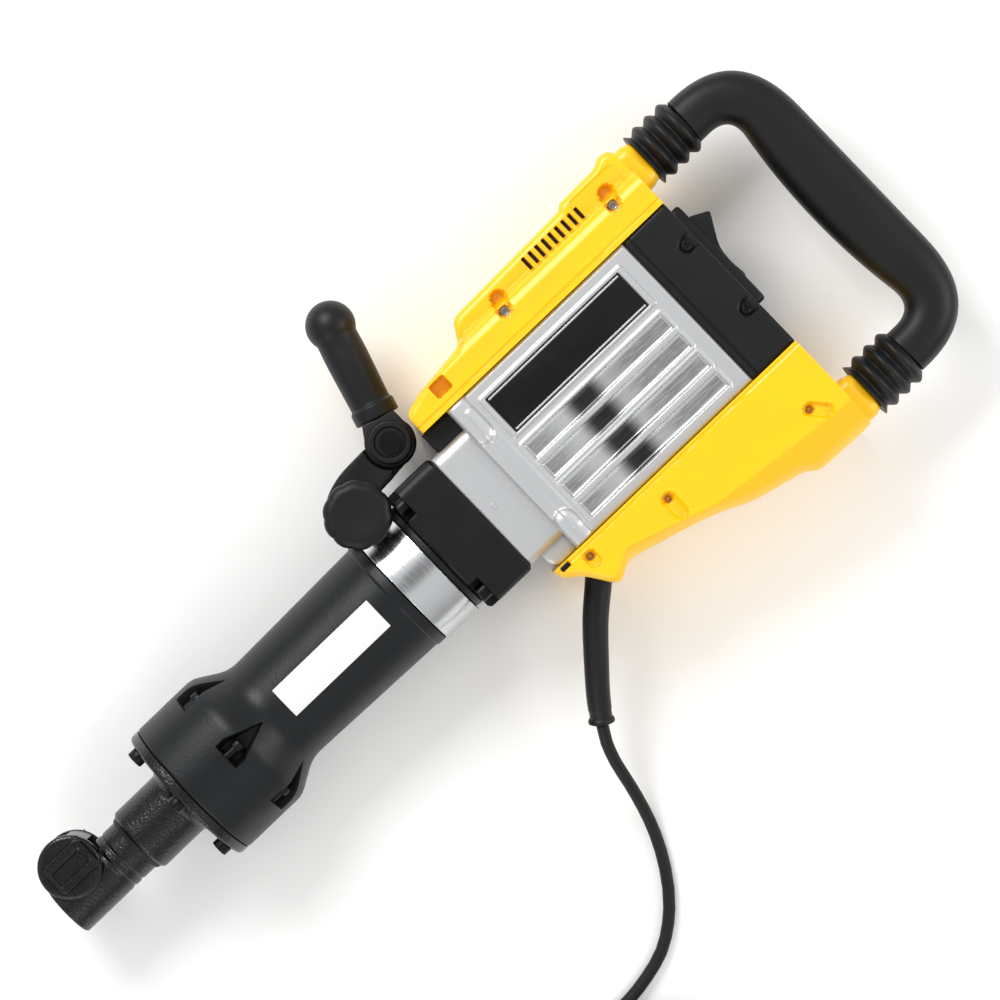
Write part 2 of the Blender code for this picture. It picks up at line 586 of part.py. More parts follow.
# ---- Gear plate: carries the crank's bearing and the shafts between the two gear layers.
BEARING_R = 0.0150
gear_plate = side_block((CRANK_X - 0.0190, MOTOR_X + 0.0150), (PLATE_LOW, PLATE_HIGH), 0.0340)
cut(gear_plate, cross_rod(CRANK_X, PLATE_LOW - 0.01, PLATE_HIGH + 0.01, BEARING_R + GAP),
    cross_rod(WHEEL_X, PLATE_LOW - 0.01, PLATE_HIGH + 0.01, WHEEL_SHAFT_R + GAP),
    cross_rod(MOTOR_X, PLATE_LOW - 0.01, PLATE_HIGH + 0.01, SHAFT_R + GAP))
part("gear_plate", gear_plate, SILVER)
part("crank_bearing", turned([
    (PLATE_HIGH, CRANK_SHAFT_R + GAP), (PLATE_HIGH, BEARING_R), (PLATE_LOW, BEARING_R),
    (PLATE_LOW, CRANK_SHAFT_R + GAP)], (CRANK_X, 0.0, AXIS_Z), (0, 1, 0), 24), STEEL)

# ---- Gearbox block: a square casting round the cylinder's end, notched at its corners.
CAVITY_TOP = PLATE_HIGH + GAP
CAVITY_LOW = AXIS_Y - 0.0360
CAVITY_HALF_Z = 0.0400
block_piece = side_block((X_BLOCK, X_NECK - GAP), (AXIS_Y - BLOCK_HALF, AXIS_Y + BLOCK_HALF), BLOCK_HALF, 0.0080, 3)
NOTCH_IN = BLOCK_HALF - 0.0225
for side_y in (-1, 1):
    for side_z in (-1, 1):
        y, z = sorted((side_y * NOTCH_IN, side_y * 0.07)), sorted((side_z * NOTCH_IN, side_z * 0.07))
        cut(block_piece, block((X_BLOCK - 0.01, AXIS_Y + y[0], AXIS_Z + z[0]),
                               (X_BLOCK + 0.0090, AXIS_Y + y[1], AXIS_Z + z[1])))
cut(block_piece, rod((X_BLOCK - 0.01, AXIS_Y, AXIS_Z), (X_NECK + 0.01, AXIS_Y, AXIS_Z), BARREL_BORE, 40))
part("gearbox_block", block_piece, BLACK)

# ---- Crankcase neck: the cast aluminium throat between the block and the motor housing.
neck = side_block((X_NECK, HOUSING_FRONT - GAP), (AXIS_Y - NECK_HALF, AXIS_Y + NECK_HALF), NECK_HALF, 0.0070, 3)
cut(neck, side_block((X_NECK - 0.01, HOUSING_FRONT + 0.01), (CAVITY_LOW, CAVITY_TOP), CAVITY_HALF_Z))
join(neck, side_block((X_NECK + 0.0095, HOUSING_FRONT - GAP), (BODY_BOTTOM + 0.0010, AXIS_Y - NECK_HALF + 0.002),
                      0.0430, 0.0020))
part("crankcase_neck", neck, SILVER)
CAP_TOP = BODY_TOP - GAP
part("crankcase_cap", side_block((X_NECK + 0.0075, HOUSING_FRONT - GAP), (AXIS_Y + NECK_HALF + GAP, CAP_TOP),
                                 0.0400, 0.0025), BLACK)

# ---- Motor housing: a cast box, open at both ends for the covers, with rib windows in its sides.
housing = side_block((HOUSING_FRONT, HOUSING_FRONT + HOUSING_LEN), (BODY_BOTTOM, BODY_TOP), HOUSING_HALF_W, 0.0040)
inside_x = (HOUSING_FRONT + HOUSING_WALL, HOUSING_FRONT + HOUSING_LEN - HOUSING_WALL)
cut(housing, side_block(inside_x, (BODY_BOTTOM - 0.01, BODY_TOP + 0.01), HOUSING_HALF_W - HOUSING_WALL),
    side_block((HOUSING_FRONT - 0.01, inside_x[0] + 0.001), (CAVITY_LOW, CAVITY_TOP), CAVITY_HALF_Z))
WINDOW_FRONT = HOUSING_FRONT + 0.0217
WINDOW_REAR = HOUSING_FRONT + HOUSING_LEN - 0.0139
WINDOW_TOPS = (-0.0042, -0.0224, -0.0413, -0.0595)
WINDOW_H = 0.0147
WINDOW_DEPTH = 0.0035
for side in (-1, 1):
    face = AXIS_Z + side * HOUSING_HALF_W
    z = sorted((face - side * WINDOW_DEPTH, face + side * 0.01))
    for top in WINDOW_TOPS:
        cut(housing, block((WINDOW_FRONT, top - WINDOW_H, z[0]), (WINDOW_REAR, top, z[1])))
part("motor_housing", housing, SILVER)

# ---- Top cover: a wide lower part, a narrower deck with air slots, and a collar for the upper arm.
COVER_FRONT = HOUSING_FRONT - 0.0222
COVER_SEAM = BODY_TOP + GAP
COVER_INNER_W = COVER_HALF_W - COVER_WALL
DECK_HALF_W = 0.0460
DECK_Y = 0.0959
GUIDE_START = X_BACK - 0.0300
ROD_BORE_R = SLIDE_ROD_R + RUNNING
top_cover = mid_slab([
    (COVER_FRONT, COVER_SEAM), (X_BACK, COVER_SEAM), (X_BACK, 0.0785), (HOUSING_FRONT + 0.0412, 0.0766),
    (COVER_FRONT + 0.0060, 0.0705), (COVER_FRONT, 0.0660)], COVER_HALF_W, 0.0030, 1)
deck = mid_slab([
    (HOUSING_FRONT + 0.0392, 0.0700), (X_BACK - 0.0010, 0.0700), (X_BACK - 0.0010, DECK_Y + 0.0030), (HOUSING_FRONT + 0.1590, DECK_Y + 0.0030),
    (HOUSING_FRONT + 0.1555, DECK_Y), (HOUSING_FRONT + 0.0511, 0.0931), (HOUSING_FRONT + 0.0462, 0.0905),
    (HOUSING_FRONT + 0.0392, 0.0770)], DECK_HALF_W, 0.0020, 1)


def arm_collar(y):
    return side_block((X_BACK - 0.0200, X_COLLAR), (y - ARM_HALF, y + ARM_HALF), ARM_HALF, 0.0060, 3)


def arm_bore(y):
    return rod((GUIDE_START - 0.010, y, AXIS_Z), (X_COLLAR + 0.01, y, AXIS_Z), ROD_BORE_R)


join(top_cover, deck, arm_collar(ARM_UPPER_Y))
cut(top_cover,
    side_block((COVER_FRONT + COVER_WALL, X_BACK - COVER_WALL), (COVER_SEAM - 0.01, 0.0620), COVER_INNER_W),
    side_block((HOUSING_FRONT + 0.0510, GUIDE_START), (0.0590, DECK_Y - COVER_WALL), DECK_HALF_W - COVER_WALL),
    arm_bore(ARM_UPPER_Y))
AIR_SLOTS = 9
SLOT_PITCH = 0.0063
SLOT_W = 0.0032
SLOT_START = HOUSING_FRONT + 0.1120
for i in range(AIR_SLOTS):
    x = SLOT_START + i * SLOT_PITCH
    cut(top_cover, side_block((x - SLOT_W / 2, x + SLOT_W / 2), (DECK_Y - 0.0165, DECK_Y - 0.0058), DECK_HALF_W + 0.004))
part("top_cover", top_cover, YELLOW)

# ---- Bottom cover: a deep tapering shell with the cord outlet at its front and the lower arm's collar.
SEAM_LOW = BODY_BOTTOM - GAP
bottom_cover = mid_slab([(HOUSING_FRONT + x, y) for x, y in (
    (-0.0232, SEAM_LOW), (-0.0224, -0.0896), (-0.0098, -0.0994), (0.0021, -0.1176), (0.0070, -0.1204),
    (0.0196, -0.1127), (0.0616, -0.1239), (0.0896, -0.1330), (0.1106, -0.1435), (0.1526, -0.1540), (0.1596, -0.1610))]
    + [(X_BACK, -0.1617), (X_BACK, SEAM_LOW)], COVER_HALF_W, 0.0050)
join(bottom_cover, arm_collar(ARM_LOWER_Y))
cut(bottom_cover, mid_slab([(HOUSING_FRONT + x, y) for x, y in (
    (0.0080, -0.0700), (0.0080, -0.1040), (0.0240, -0.1090), (0.0610, -0.1189), (0.0880, -0.1275), (0.1090, -0.1380),
    (0.1500, -0.1480))] + [(GUIDE_START, -0.1520), (GUIDE_START, -0.1000), (X_BACK - COVER_WALL, -0.1000),
                           (X_BACK - COVER_WALL, -0.0700)], COVER_INNER_W), arm_bore(ARM_LOWER_Y))
part("bottom_cover", bottom_cover, YELLOW)
part("control_module", side_block((X_REAR - 0.0350, X_REAR + 0.0080), (-0.1250, -0.0950), 0.0300, 0.0020), BLACK)

# ---- Rear housing, switch bezel, rocker and the switch behind it.
REAR_HALF_W = 0.0600
rear = side_block((X_REAR, X_BACK), (BODY_BOTTOM, BODY_TOP), REAR_HALF_W, 0.0030)
ROCKER_Y = -0.0028
OPENING_HALF_Y = 0.0368
OPENING_HALF_Z = 0.0195
opening_y = (ROCKER_Y - OPENING_HALF_Y, ROCKER_Y + OPENING_HALF_Y)
cut(rear, side_block((X_REAR - 0.01, X_BACK - REAR_WALL), (BODY_BOTTOM + REAR_WALL, BODY_TOP - REAR_WALL),
                     REAR_HALF_W - REAR_WALL),
    side_block((X_BACK - 0.01, X_BACK + 0.01), opening_y, OPENING_HALF_Z))
part("rear_housing", rear, BLACK)
BEZEL_T = 0.0088
bezel = side_block((X_BACK + GAP, X_BACK + GAP + BEZEL_T), (-0.0476, 0.0420), OPENING_HALF_Z + 0.0070, 0.0020)
cut(bezel, side_block((X_BACK - 0.01, X_BACK + 0.03), opening_y, OPENING_HALF_Z))
part("switch_bezel", bezel, BLACK)
part("rocker_switch", mid_slab([(X_BACK + x, y) for x, y in (
    (0.0015, 0.0305), (-0.0040, 0.0200), (-0.0060, 0.0), (-0.0040, -0.0200), (0.0060, -0.0305), (0.0105, -0.0259),
    (0.0090, -0.0105), (0.0105, 0.0014), (0.0231, 0.0238), (0.0091, 0.0310))], OPENING_HALF_Z - 0.0007, 0.0008), BLACK)
part("switch_body", side_block((X_BACK - 0.0300, X_BACK - 0.0120), (-0.0300, 0.0250), 0.0170, 0.0010), BLACK)

# ---- Rear handle: a D of round bar whose two arms slide in the covers, in rubber bellows.
CORNER_OUT, CORNER_IN = 0.0400, 0.0170
UP_OUT, UP_IN = ARM_UPPER_Y + ARM_HALF, ARM_UPPER_Y - ARM_HALF
LOW_OUT, LOW_IN = ARM_LOWER_Y - ARM_HALF, ARM_LOWER_Y + ARM_HALF
X_IN = X_GRIP - GRIP_T - CORNER_IN
handle = mid_slab(
    [(X_ARM, UP_IN), (X_ARM, UP_OUT)] + arc((X_GRIP - CORNER_OUT, UP_OUT - CORNER_OUT), CORNER_OUT, 90, 0, 6)
    + arc((X_GRIP - CORNER_OUT, LOW_OUT + CORNER_OUT), CORNER_OUT, 0, -90, 6) + [(X_ARM, LOW_OUT), (X_ARM, LOW_IN)]
    + arc((X_IN, LOW_IN + CORNER_IN), CORNER_IN, -90, 0, 4) + arc((X_IN, UP_IN - CORNER_IN), CORNER_IN, 0, 90, 4),
    HANDLE_HALF_Z, 0.0090)
HANDLE_TRAVEL = 0.0080
STUB_R = BELLOWS_BORE - 0.0010
X_STUB = X_COLLAR + HANDLE_TRAVEL + 0.0060
for y in (ARM_UPPER_Y, ARM_LOWER_Y):
    join(handle, rod((X_STUB, y, AXIS_Z), (X_ARM + 0.006, y, AXIS_Z), STUB_R))
for y in (ARM_UPPER_Y, ARM_LOWER_Y):
    cut(handle, rod((X_STUB - 0.01, y, AXIS_Z), (X_STUB + 0.020, y, AXIS_Z), SLIDE_ROD_R + GAP))
part("rear_handle", handle, RUBBER)
BELLOWS_RINGS = 3
for name, y in (("upper", ARM_UPPER_Y), ("lower", ARM_LOWER_Y)):
    slide_rod = rod((X_BACK - 0.0200, y, AXIS_Z), (X_STUB + 0.0190, y, AXIS_Z), SLIDE_ROD_R)
    part(f"slide_rod_{name}", slide_rod, STEEL)
    ring_pitch = BELLOWS_LEN / (BELLOWS_RINGS + 0.4)
    profile = [(BELLOWS_LEN, BELLOWS_BORE), (BELLOWS_LEN, BELLOWS_R - 0.0040)]
    for ring in range(BELLOWS_RINGS, 0, -1):
        at = (ring - 0.3) * ring_pitch
        profile += [(at + 0.0040, BELLOWS_R - 0.0035), (at, BELLOWS_R), (at - 0.0040, BELLOWS_R - 0.0035)]
    profile += [(0.0, BELLOWS_R - 0.0040), (0.0, BELLOWS_BORE)]
    part(f"bellows_{name}", turned(profile, (X_COLLAR + GAP, y, AXIS_Z), (1, 0, 0), 20), RUBBER)

# ---- Side handle: steel clamp band with two ears, bracket, clamp bolt and knob, hinged grip.
EAR_HALF = 0.0042
SLIT_HALF = 0.0012
CLAMP_BOLT_R = 0.0040
BAND_R = BAND_SEAT_R + GAP + BAND_T
EAR_TOP = KNOB_Y + 0.0085
band = on_axis([(X_BAND + BAND_W, BAND_SEAT_R + GAP), (X_BAND + BAND_W, BAND_R), (X_BAND, BAND_R),
                (X_BAND, BAND_SEAT_R + GAP)], 36)
join(band, side_block((X_BAND + 0.0030, X_BAND + BAND_W - 0.0030), (AXIS_Y + BAND_R - 0.0015, EAR_TOP), EAR_HALF))
clamp_hole = rod((KNOB_X, KNOB_Y, AXIS_Z - 0.05), (KNOB_X, KNOB_Y, AXIS_Z + 0.05), CLAMP_BOLT_R + GAP, 16)
cut(band, side_block((X_BAND - 0.01, X_BAND + BAND_W + 0.01), (AXIS_Y + 0.0400, EAR_TOP + 0.01), SLIT_HALF), clamp_hole)
part("clamp_band", band, STAINLESS)
knuckle = (KNUCKLE_X, KNUCKLE_Y)
BRACKET_LOW = AXIS_Y + BAND_R + 0.0014
bracket = mid_slab([
    (KNOB_X + 0.0201, BRACKET_LOW), (KNOB_X + 0.0201, 0.0418), (KNOB_X + 0.0336, 0.0424)]
    + arc(knuckle, KNUCKLE_R, -100, 150, 16) + [
    (KNOB_X + 0.0090, 0.0700), (KNOB_X - 0.0085, 0.0648), (KNOB_X - 0.0200, 0.0530), (KNOB_X - 0.0205, BRACKET_LOW)],
    BRACKET_HALF)
KNOB_LOW = 0.0362
BOSS_R = 0.0098
join(bracket, rod((KNOB_X, KNOB_Y, AXIS_Z + 0.010), (KNOB_X, KNOB_Y, AXIS_Z + KNOB_LOW), BOSS_R))
cut(bracket, side_block((X_BAND - 0.01, KNOB_X + 0.0150), (BRACKET_LOW - 0.01, EAR_TOP + 0.0015), EAR_HALF + 0.0005),
    rod((KNOB_X, KNOB_Y, AXIS_Z - 0.06), (KNOB_X, KNOB_Y, AXIS_Z + 0.06), CLAMP_BOLT_R + GAP, 16))
for side in (-1, 1):
    cut(bracket, rod((*knuckle, AXIS_Z + side * TONGUE_HALF), (*knuckle, AXIS_Z + side * 0.03), KNUCKLE_R + 0.0012))
GRIP_BOLT_R = 0.0050
grip_hole = ((*knuckle, AXIS_Z - 0.04), (*knuckle, AXIS_Z + 0.04), GRIP_BOLT_R + GAP, 16)
cut(bracket, rod(*grip_hole))
part("handle_bracket", bracket, BLACK)
KNOB_T = 0.0180
KNOB_LOBES = 10
lobes = []
for i in range(KNOB_LOBES * 4):
    angle = 2 * math.pi * i / (KNOB_LOBES * 4)
    radius = KNOB_R * (0.96 + 0.04 * math.cos(KNOB_LOBES * angle))
    lobes.append((KNOB_X + radius * math.cos(angle), KNOB_Y + radius * math.sin(angle)))
knob = slab(lobes, AXIS_Z + KNOB_LOW + GAP, AXIS_Z + KNOB_LOW + GAP + KNOB_T)
cut(knob, rod((KNOB_X, KNOB_Y, AXIS_Z), (KNOB_X, KNOB_Y, AXIS_Z + KNOB_LOW + 0.0125), CLAMP_BOLT_R + GAP, 16))
part("clamp_knob", knob, BLACK)
bolt_low = AXIS_Z - BRACKET_HALF - GAP
part("clamp_bolt", turned([
    (KNOB_LOW + BRACKET_HALF + 0.0120, 0.0), (KNOB_LOW + BRACKET_HALF + 0.0120, CLAMP_BOLT_R), (0.0, CLAMP_BOLT_R),
    (0.0, 0.0075), (-0.0050, 0.0075), (-0.0050, 0.0)], (KNOB_X, KNOB_Y, bolt_low), (0, 0, 1), 16), STEEL)
lean = math.radians(GRIP_LEAN)
ball = [(GRIP_LEN + h, r) for h, r in arc((0.0, 0.0), GRIP_BALL_R, 0, 125, 8)]
ball[0] = (GRIP_LEN + GRIP_BALL_R, 0.0)
grip = turned(ball + [(GRIP_LEN - 0.026, GRIP_R), (0.036, GRIP_R - 0.0008), (0.030, GRIP_R + 0.0008),
                      (0.004, GRIP_R - 0.0005), (0.004, 0.0)],
              (*knuckle, AXIS_Z), (math.sin(lean), math.cos(lean), 0.0), 20)
join(grip, rod((*knuckle, AXIS_Z - GRIP_R), (*knuckle, AXIS_Z + GRIP_R), KNUCKLE_R, 28))
cut(grip, rod((*knuckle, AXIS_Z - TONGUE_HALF - GAP), (*knuckle, AXIS_Z + TONGUE_HALF + GAP), KNUCKLE_R + 0.0015, 28),
    rod(*grip_hole))
part("side_grip", grip, RUBBER)
part("grip_pivot", turned([
    (GRIP_R + 0.0030, 0.0), (GRIP_R + 0.0030, 0.0080), (GRIP_R + GAP, 0.0080), (GRIP_R + GAP, GRIP_BOLT_R),
    (-GRIP_R - 0.0020, GRIP_BOLT_R), (-GRIP_R - 0.0020, 0.0)], (*knuckle, AXIS_Z), (0, 0, 1), 16), STEEL)

# ---- Cord: tapered boot, a free stretch down to the surface, a coil, and a tail to the plug.
boot = tube([(0.0468, -0.1119, 0.0627), (0.0273, -0.1295, 0.0615), (0.0063, -0.1526, 0.0575),
             (-0.0080, -0.1695, 0.0525), (-0.0196, -0.1855, 0.0465)], BOOT_R, 4, [1.0, 0.98, 0.93, 0.89, 0.86])
part("cord_boot", boot, RUBBER)
SPACING = 0.0100
cord = smooth_path([
    (-0.0201, -0.1862, 0.0463), (-0.0268, -0.1980, 0.0405), (-0.0322, -0.2135, 0.0325), (-0.0360, -0.2320, 0.0220),
    (-0.0410, -0.2520, 0.0115), (-0.0480, -0.2720, 0.0058), (-0.0600, -0.2950, 0.0046), (-0.0780, -0.3180, 0.0046),
    (-0.1030, -0.3360, 0.0046), (-0.1350, -0.3443, 0.0046), (-0.1660, -0.3458, 0.0046)], SPACING)
part("cord_tube", tube(cord, CORD_R), RUBBER)
coil_low, coil_high = 0.0001, 0.0001 + COIL_H
part("cord_coil", turned([
    (coil_high, COIL_MID_R - COIL_HALF_W), (coil_high, COIL_MID_R + COIL_HALF_W), (coil_low, COIL_MID_R + COIL_HALF_W),
    (coil_low, COIL_MID_R - COIL_HALF_W)], (*COIL_CENTRE, 0.0), (0, 0, 1), 40), RUBBER)
tail = smooth_path([
    (-0.2528, -0.4480, 0.0046), (-0.2502, -0.4640, 0.0046), (-0.2430, -0.4850, 0.0060), (-0.2325, -0.5025, 0.0095),
    (-0.2205, -0.5127, 0.0140), (-0.2073, -0.5160, 0.0177)], SPACING)
part("cord_tail", tube(tail, CORD_R), RUBBER)
PLUG_R = 0.0178
plug_place = (-0.2050, -0.5160, 0.0180)
part("plug_body", turned([
    (0.0480, 0.0), (0.0480, PLUG_R - 0.0012), (0.0465, PLUG_R), (0.0260, PLUG_R), (0.0150, 0.0100), (0.0, 0.0062),
    (0.0, 0.0)], plug_place, (1, 0, 0), 24), RUBBER)
contact_x = plug_place[0] + 0.0480 + GAP
contacts = rod((contact_x, plug_place[1], plug_place[2]), (contact_x + 0.0012, plug_place[1], plug_place[2]), 0.0140)
for side in (-1, 1):
    y = plug_place[1] + side * 0.0095
    join(contacts, rod((contact_x + 0.0005, y, plug_place[2]), (contact_x + 0.0190, y, plug_place[2]), 0.0024, 12))
part("plug_contacts", contacts, STEEL)
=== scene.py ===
"""Looks for a demolition hammer that lies on its side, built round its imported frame.

The tool axis runs along X at AXIS, the nose points to -X, and +Z is the side seen from above.
"""
import math

import bmesh
import bpy
import numpy as np
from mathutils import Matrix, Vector


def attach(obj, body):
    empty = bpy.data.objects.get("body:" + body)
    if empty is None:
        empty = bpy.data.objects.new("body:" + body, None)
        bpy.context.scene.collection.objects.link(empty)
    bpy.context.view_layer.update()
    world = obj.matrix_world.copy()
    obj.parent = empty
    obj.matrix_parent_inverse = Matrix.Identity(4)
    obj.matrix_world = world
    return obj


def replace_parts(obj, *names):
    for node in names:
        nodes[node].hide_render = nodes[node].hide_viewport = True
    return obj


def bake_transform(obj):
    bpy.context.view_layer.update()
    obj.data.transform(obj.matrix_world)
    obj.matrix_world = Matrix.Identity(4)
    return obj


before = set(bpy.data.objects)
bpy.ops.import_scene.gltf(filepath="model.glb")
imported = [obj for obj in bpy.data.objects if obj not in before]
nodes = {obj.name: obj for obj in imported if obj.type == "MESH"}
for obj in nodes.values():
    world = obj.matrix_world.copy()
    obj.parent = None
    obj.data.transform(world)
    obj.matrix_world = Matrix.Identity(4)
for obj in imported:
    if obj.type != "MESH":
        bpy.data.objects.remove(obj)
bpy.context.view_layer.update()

# ---- Camera: straight above the tool, on a long lens, turned so that the nose points down left.
VIEW_TURN = math.radians(43.8)
VIEW_WIDTH = 0.700
VIEW_CENTRE = Vector((0.0378, -0.0210, 0.0900))
LENS, SENSOR = 150.0, 36.0
lens_data = bpy.data.cameras.new("long_lens")
lens_data.lens = LENS
lens_data.sensor_width = SENSOR
camera = bpy.data.objects.new("camera", lens_data)
camera.location = VIEW_CENTRE + Vector((0, 0, VIEW_WIDTH * LENS / SENSOR))
camera.rotation_euler = (0.0, 0.0, -VIEW_TURN)
bpy.context.scene.collection.objects.link(camera)
bpy.context.scene.camera = camera
bpy.context.scene.view_settings.view_transform = "Standard"


def hex_colour(code):
    """An sRGB hex value as linear red, green, blue and full alpha."""
    parts = [int(code[i:i + 2], 16) / 255 for i in (1, 3, 5)]
    return (*[c / 12.92 if c <= 0.04045 else ((c + 0.055) / 1.055) ** 2.4 for c in parts], 1.0)


def add(tree, kind, inputs=None, **settings):
    """Adds a node, sets its properties, and fills its inputs with values or links."""
    node = tree.nodes.new(kind)
    for name, value in settings.items():
        setattr(node, name, value)
    for name, value in (inputs or {}).items():
        if isinstance(value, bpy.types.NodeSocket):
            tree.links.new(value, node.inputs[name])
        else:
            node.inputs[name].default_value = value
    return node


# ---- Floor and light: a pale studio sweep under one broad key from the upper left and two fills.
floor_finish = bpy.data.materials.new("studio_floor")
floor_finish.use_nodes = True
floor_shader = floor_finish.node_tree.nodes["Principled BSDF"]
floor_shader.inputs["Base Color"].default_value = hex_colour("#FBFBFA")
floor_shader.inputs["Roughness"].default_value = 0.9
bpy.ops.mesh.primitive_plane_add(size=8.0, location=(0.0, 0.0, -0.0002))
floor = bpy.context.object
floor.name = "studio_floor"
floor.data.materials.append(floor_finish)

world = bpy.data.worlds.new("studio")
bpy.context.scene.world = world
world.use_nodes = True
# The sky is bright at the sides and darker straight overhead, as under a ring of soft boxes, so
# flat metal reads grey and rounded metal picks up light along its edges.
sky = world.node_tree
sky_way = add(sky, "ShaderNodeTexCoord").outputs["Generated"]
sky_up = add(sky, "ShaderNodeSeparateXYZ", {"Vector": sky_way}).outputs["Z"]
sky_tone = add(sky, "ShaderNodeValToRGB", {"Fac": sky_up})
sky_tone.color_ramp.elements[0].color = (0.50, 0.50, 0.50, 1.0)
sky_tone.color_ramp.elements[1].color = (0.30, 0.30, 0.30, 1.0)
for height, tone in ((0.45, 0.85), (0.95, 1.05), (0.985, 0.42)):
    sky_tone.color_ramp.elements.new(height).color = (tone, tone, tone, 1.0)
sky.links.new(sky_tone.outputs["Color"], sky.nodes["Background"].inputs["Color"])
sky.nodes["Background"].inputs["Strength"].default_value = 0.80


def in_view(right, up, height):
    """A place from its distance right and up in the picture, and its height."""
    x = VIEW_CENTRE.x + right * math.cos(VIEW_TURN) + up * math.sin(VIEW_TURN)
    y = VIEW_CENTRE.y - right * math.sin(VIEW_TURN) + up * math.cos(VIEW_TURN)
    return Vector((x, y, height))


for name, right, up, height, size, watts in (
        ("key", -0.9, 1.1, 1.5, 0.9, 26.0),
        ("side", 1.5, 0.3, 1.0, 0.8, 9.0),
        ("low_fill", -0.3, -1.5, 0.9, 1.0, 6.0)):
    lamp = bpy.data.lights.new(name, "AREA")
    lamp.size = size
    lamp.energy = watts
    light = bpy.data.objects.new(name, lamp)
    light.location = in_view(right, up, height)
    light.rotation_euler = (VIEW_CENTRE - light.location).to_track_quat("-Z", "Y").to_euler()
    bpy.context.scene.collection.objects.link(light)

# ---- Mains cord: 3.2 m of 9 mm rubber-sheathed cable. It leaves the boot, falls to the floor and
# runs out of view to a flat round coil, and its last stretch ends in a moulded plug.
CORD_R = 0.0045
COIL_CENTRE = Vector((-0.1800, -0.4220, 0.0))
COIL_MID_R = 0.0540
EXIT = Vector((-0.0201, -0.1862, 0.0463))
cord_knots = [
    EXIT, (-0.0268, -0.1980, 0.0405), (-0.0322, -0.2135, 0.0325), (-0.0360, -0.2320, 0.0220),
    (-0.0410, -0.2520, 0.0115), (-0.0480, -0.2720, 0.0058), (-0.0600, -0.2950, 0.0046),
    (-0.0780, -0.3180, 0.0046), (-0.1030, -0.3360, 0.0046), (-0.1350, -0.3443, 0.0046),
    (-0.1660, -0.3458, 0.0046)]
tail_knots = [
    (-0.2528, -0.4480, 0.0046), (-0.2502, -0.4640, 0.0046), (-0.2430, -0.4850, 0.0060),
    (-0.2325, -0.5025, 0.0095), (-0.2205, -0.5127, 0.0140), (-0.2073, -0.5160, 0.0177)]


def smooth_path(knots, spacing):
    """Points a set spacing apart, near enough, on a Catmull-Rom curve through the knots."""
    knots = [Vector(k) for k in knots]
    ends = [2 * knots[0] - knots[1]] + knots + [2 * knots[-1] - knots[-2]]
    path = [knots[0]]
    for a, b, c, d in zip(ends, ends[1:], ends[2:], ends[3:]):
        count = max(1, round((c - b).length / spacing))
        for i in range(1, count + 1):
            t = i / count
            path.append(0.5 * (2 * b + (c - a) * t + (2 * a - 5 * b + 4 * c - d) * t * t
                               + (3 * b - a - 3 * c + d) * t ** 3))
    return path


def ease(t):
    """0 below 0, 1 above 1, and a smooth S between."""
    t = np.clip(t, 0.0, 1.0)
    return t * t * (3.0 - 2.0 * t)


# The coil has two flat layers of four turns. Each turn is a circle that moves over to the next
# one in its last sixth, so the last turn ends outermost, steps off the coil and comes down.
SHEATH_PITCH = CORD_R * 2 + 0.0001
COLUMNS = 4
TURN_SLOTS = [(0, 0), (1, 0), (2, 0), (3, 0), (3, 1), (2, 1), (1, 1), (0, 1)]
STEP_OVER = 0.16
lead_in = smooth_path(cord_knots, 0.012)
lead_out = smooth_path(tail_knots, 0.010)


def coil_points(first, last, steps_a_turn=24):
    """Points round the coil from the free cable's end to the tail's start: a radius and a height
    for each part of a turn, eased from slot to slot."""
    start, end = first - COIL_CENTRE, last - COIL_CENTRE
    start_r, end_r = np.hypot(start.x, start.y), np.hypot(end.x, end.y)
    start_turn = math.atan2(start.y, start.x) / (2 * math.pi)
    end_turn = math.atan2(end.y, end.x) / (2 * math.pi) % 1.0
    total = len(TURN_SLOTS) + (end_turn - start_turn) % 1.0
    turns = np.linspace(0.0, total, int(total * steps_a_turn))[1:-1]
    radii = [COIL_MID_R + SHEATH_PITCH * ((COLUMNS - 1) / 2 - column) for column, row in TURN_SLOTS]
    heights = [CORD_R + 0.0001 + SHEATH_PITCH * row for column, row in TURN_SLOTS]
    radius = start_r + (radii[0] - start_r) * ease(turns / STEP_OVER)
    height = np.full(len(turns), heights[0])
    for i in range(1, len(TURN_SLOTS)):
        over = ease((turns - (i - STEP_OVER)) / STEP_OVER)
        radius += (radii[i] - radii[i - 1]) * over
        height += (heights[i] - heights[i - 1]) * over
    off = total - len(TURN_SLOTS)
    radius += (end_r - radii[-1]) * ease((turns - len(TURN_SLOTS)) / (off * 0.5))
    height += (last.z - heights[-1]) * ease((turns - len(TURN_SLOTS) - off * 0.45) / (off * 0.55))
    angle = 2 * math.pi * (turns + start_turn)
    return [Vector((COIL_CENTRE.x + r * math.cos(a), COIL_CENTRE.y + r * math.sin(a), h))
            for r, a, h in zip(radius, angle, height)]


cable_route = lead_in + coil_points(lead_in[-1], lead_out[0]) + lead_out
cable_curve = bpy.data.curves.new("mains_cord", "CURVE")
cable_curve.dimensions = "3D"
cable_curve.bevel_depth = CORD_R
cable_curve.bevel_resolution = 4
cable_curve.use_fill_caps = True
cable_line = cable_curve.splines.new("POLY")
cable_line.points.add(len(cable_route) - 1)
for point, place in zip(cable_line.points, cable_route):
    point.co = (*place, 1.0)
mains_cord = bpy.data.objects.new("mains_cord", cable_curve)
bpy.context.scene.collection.objects.link(mains_cord)


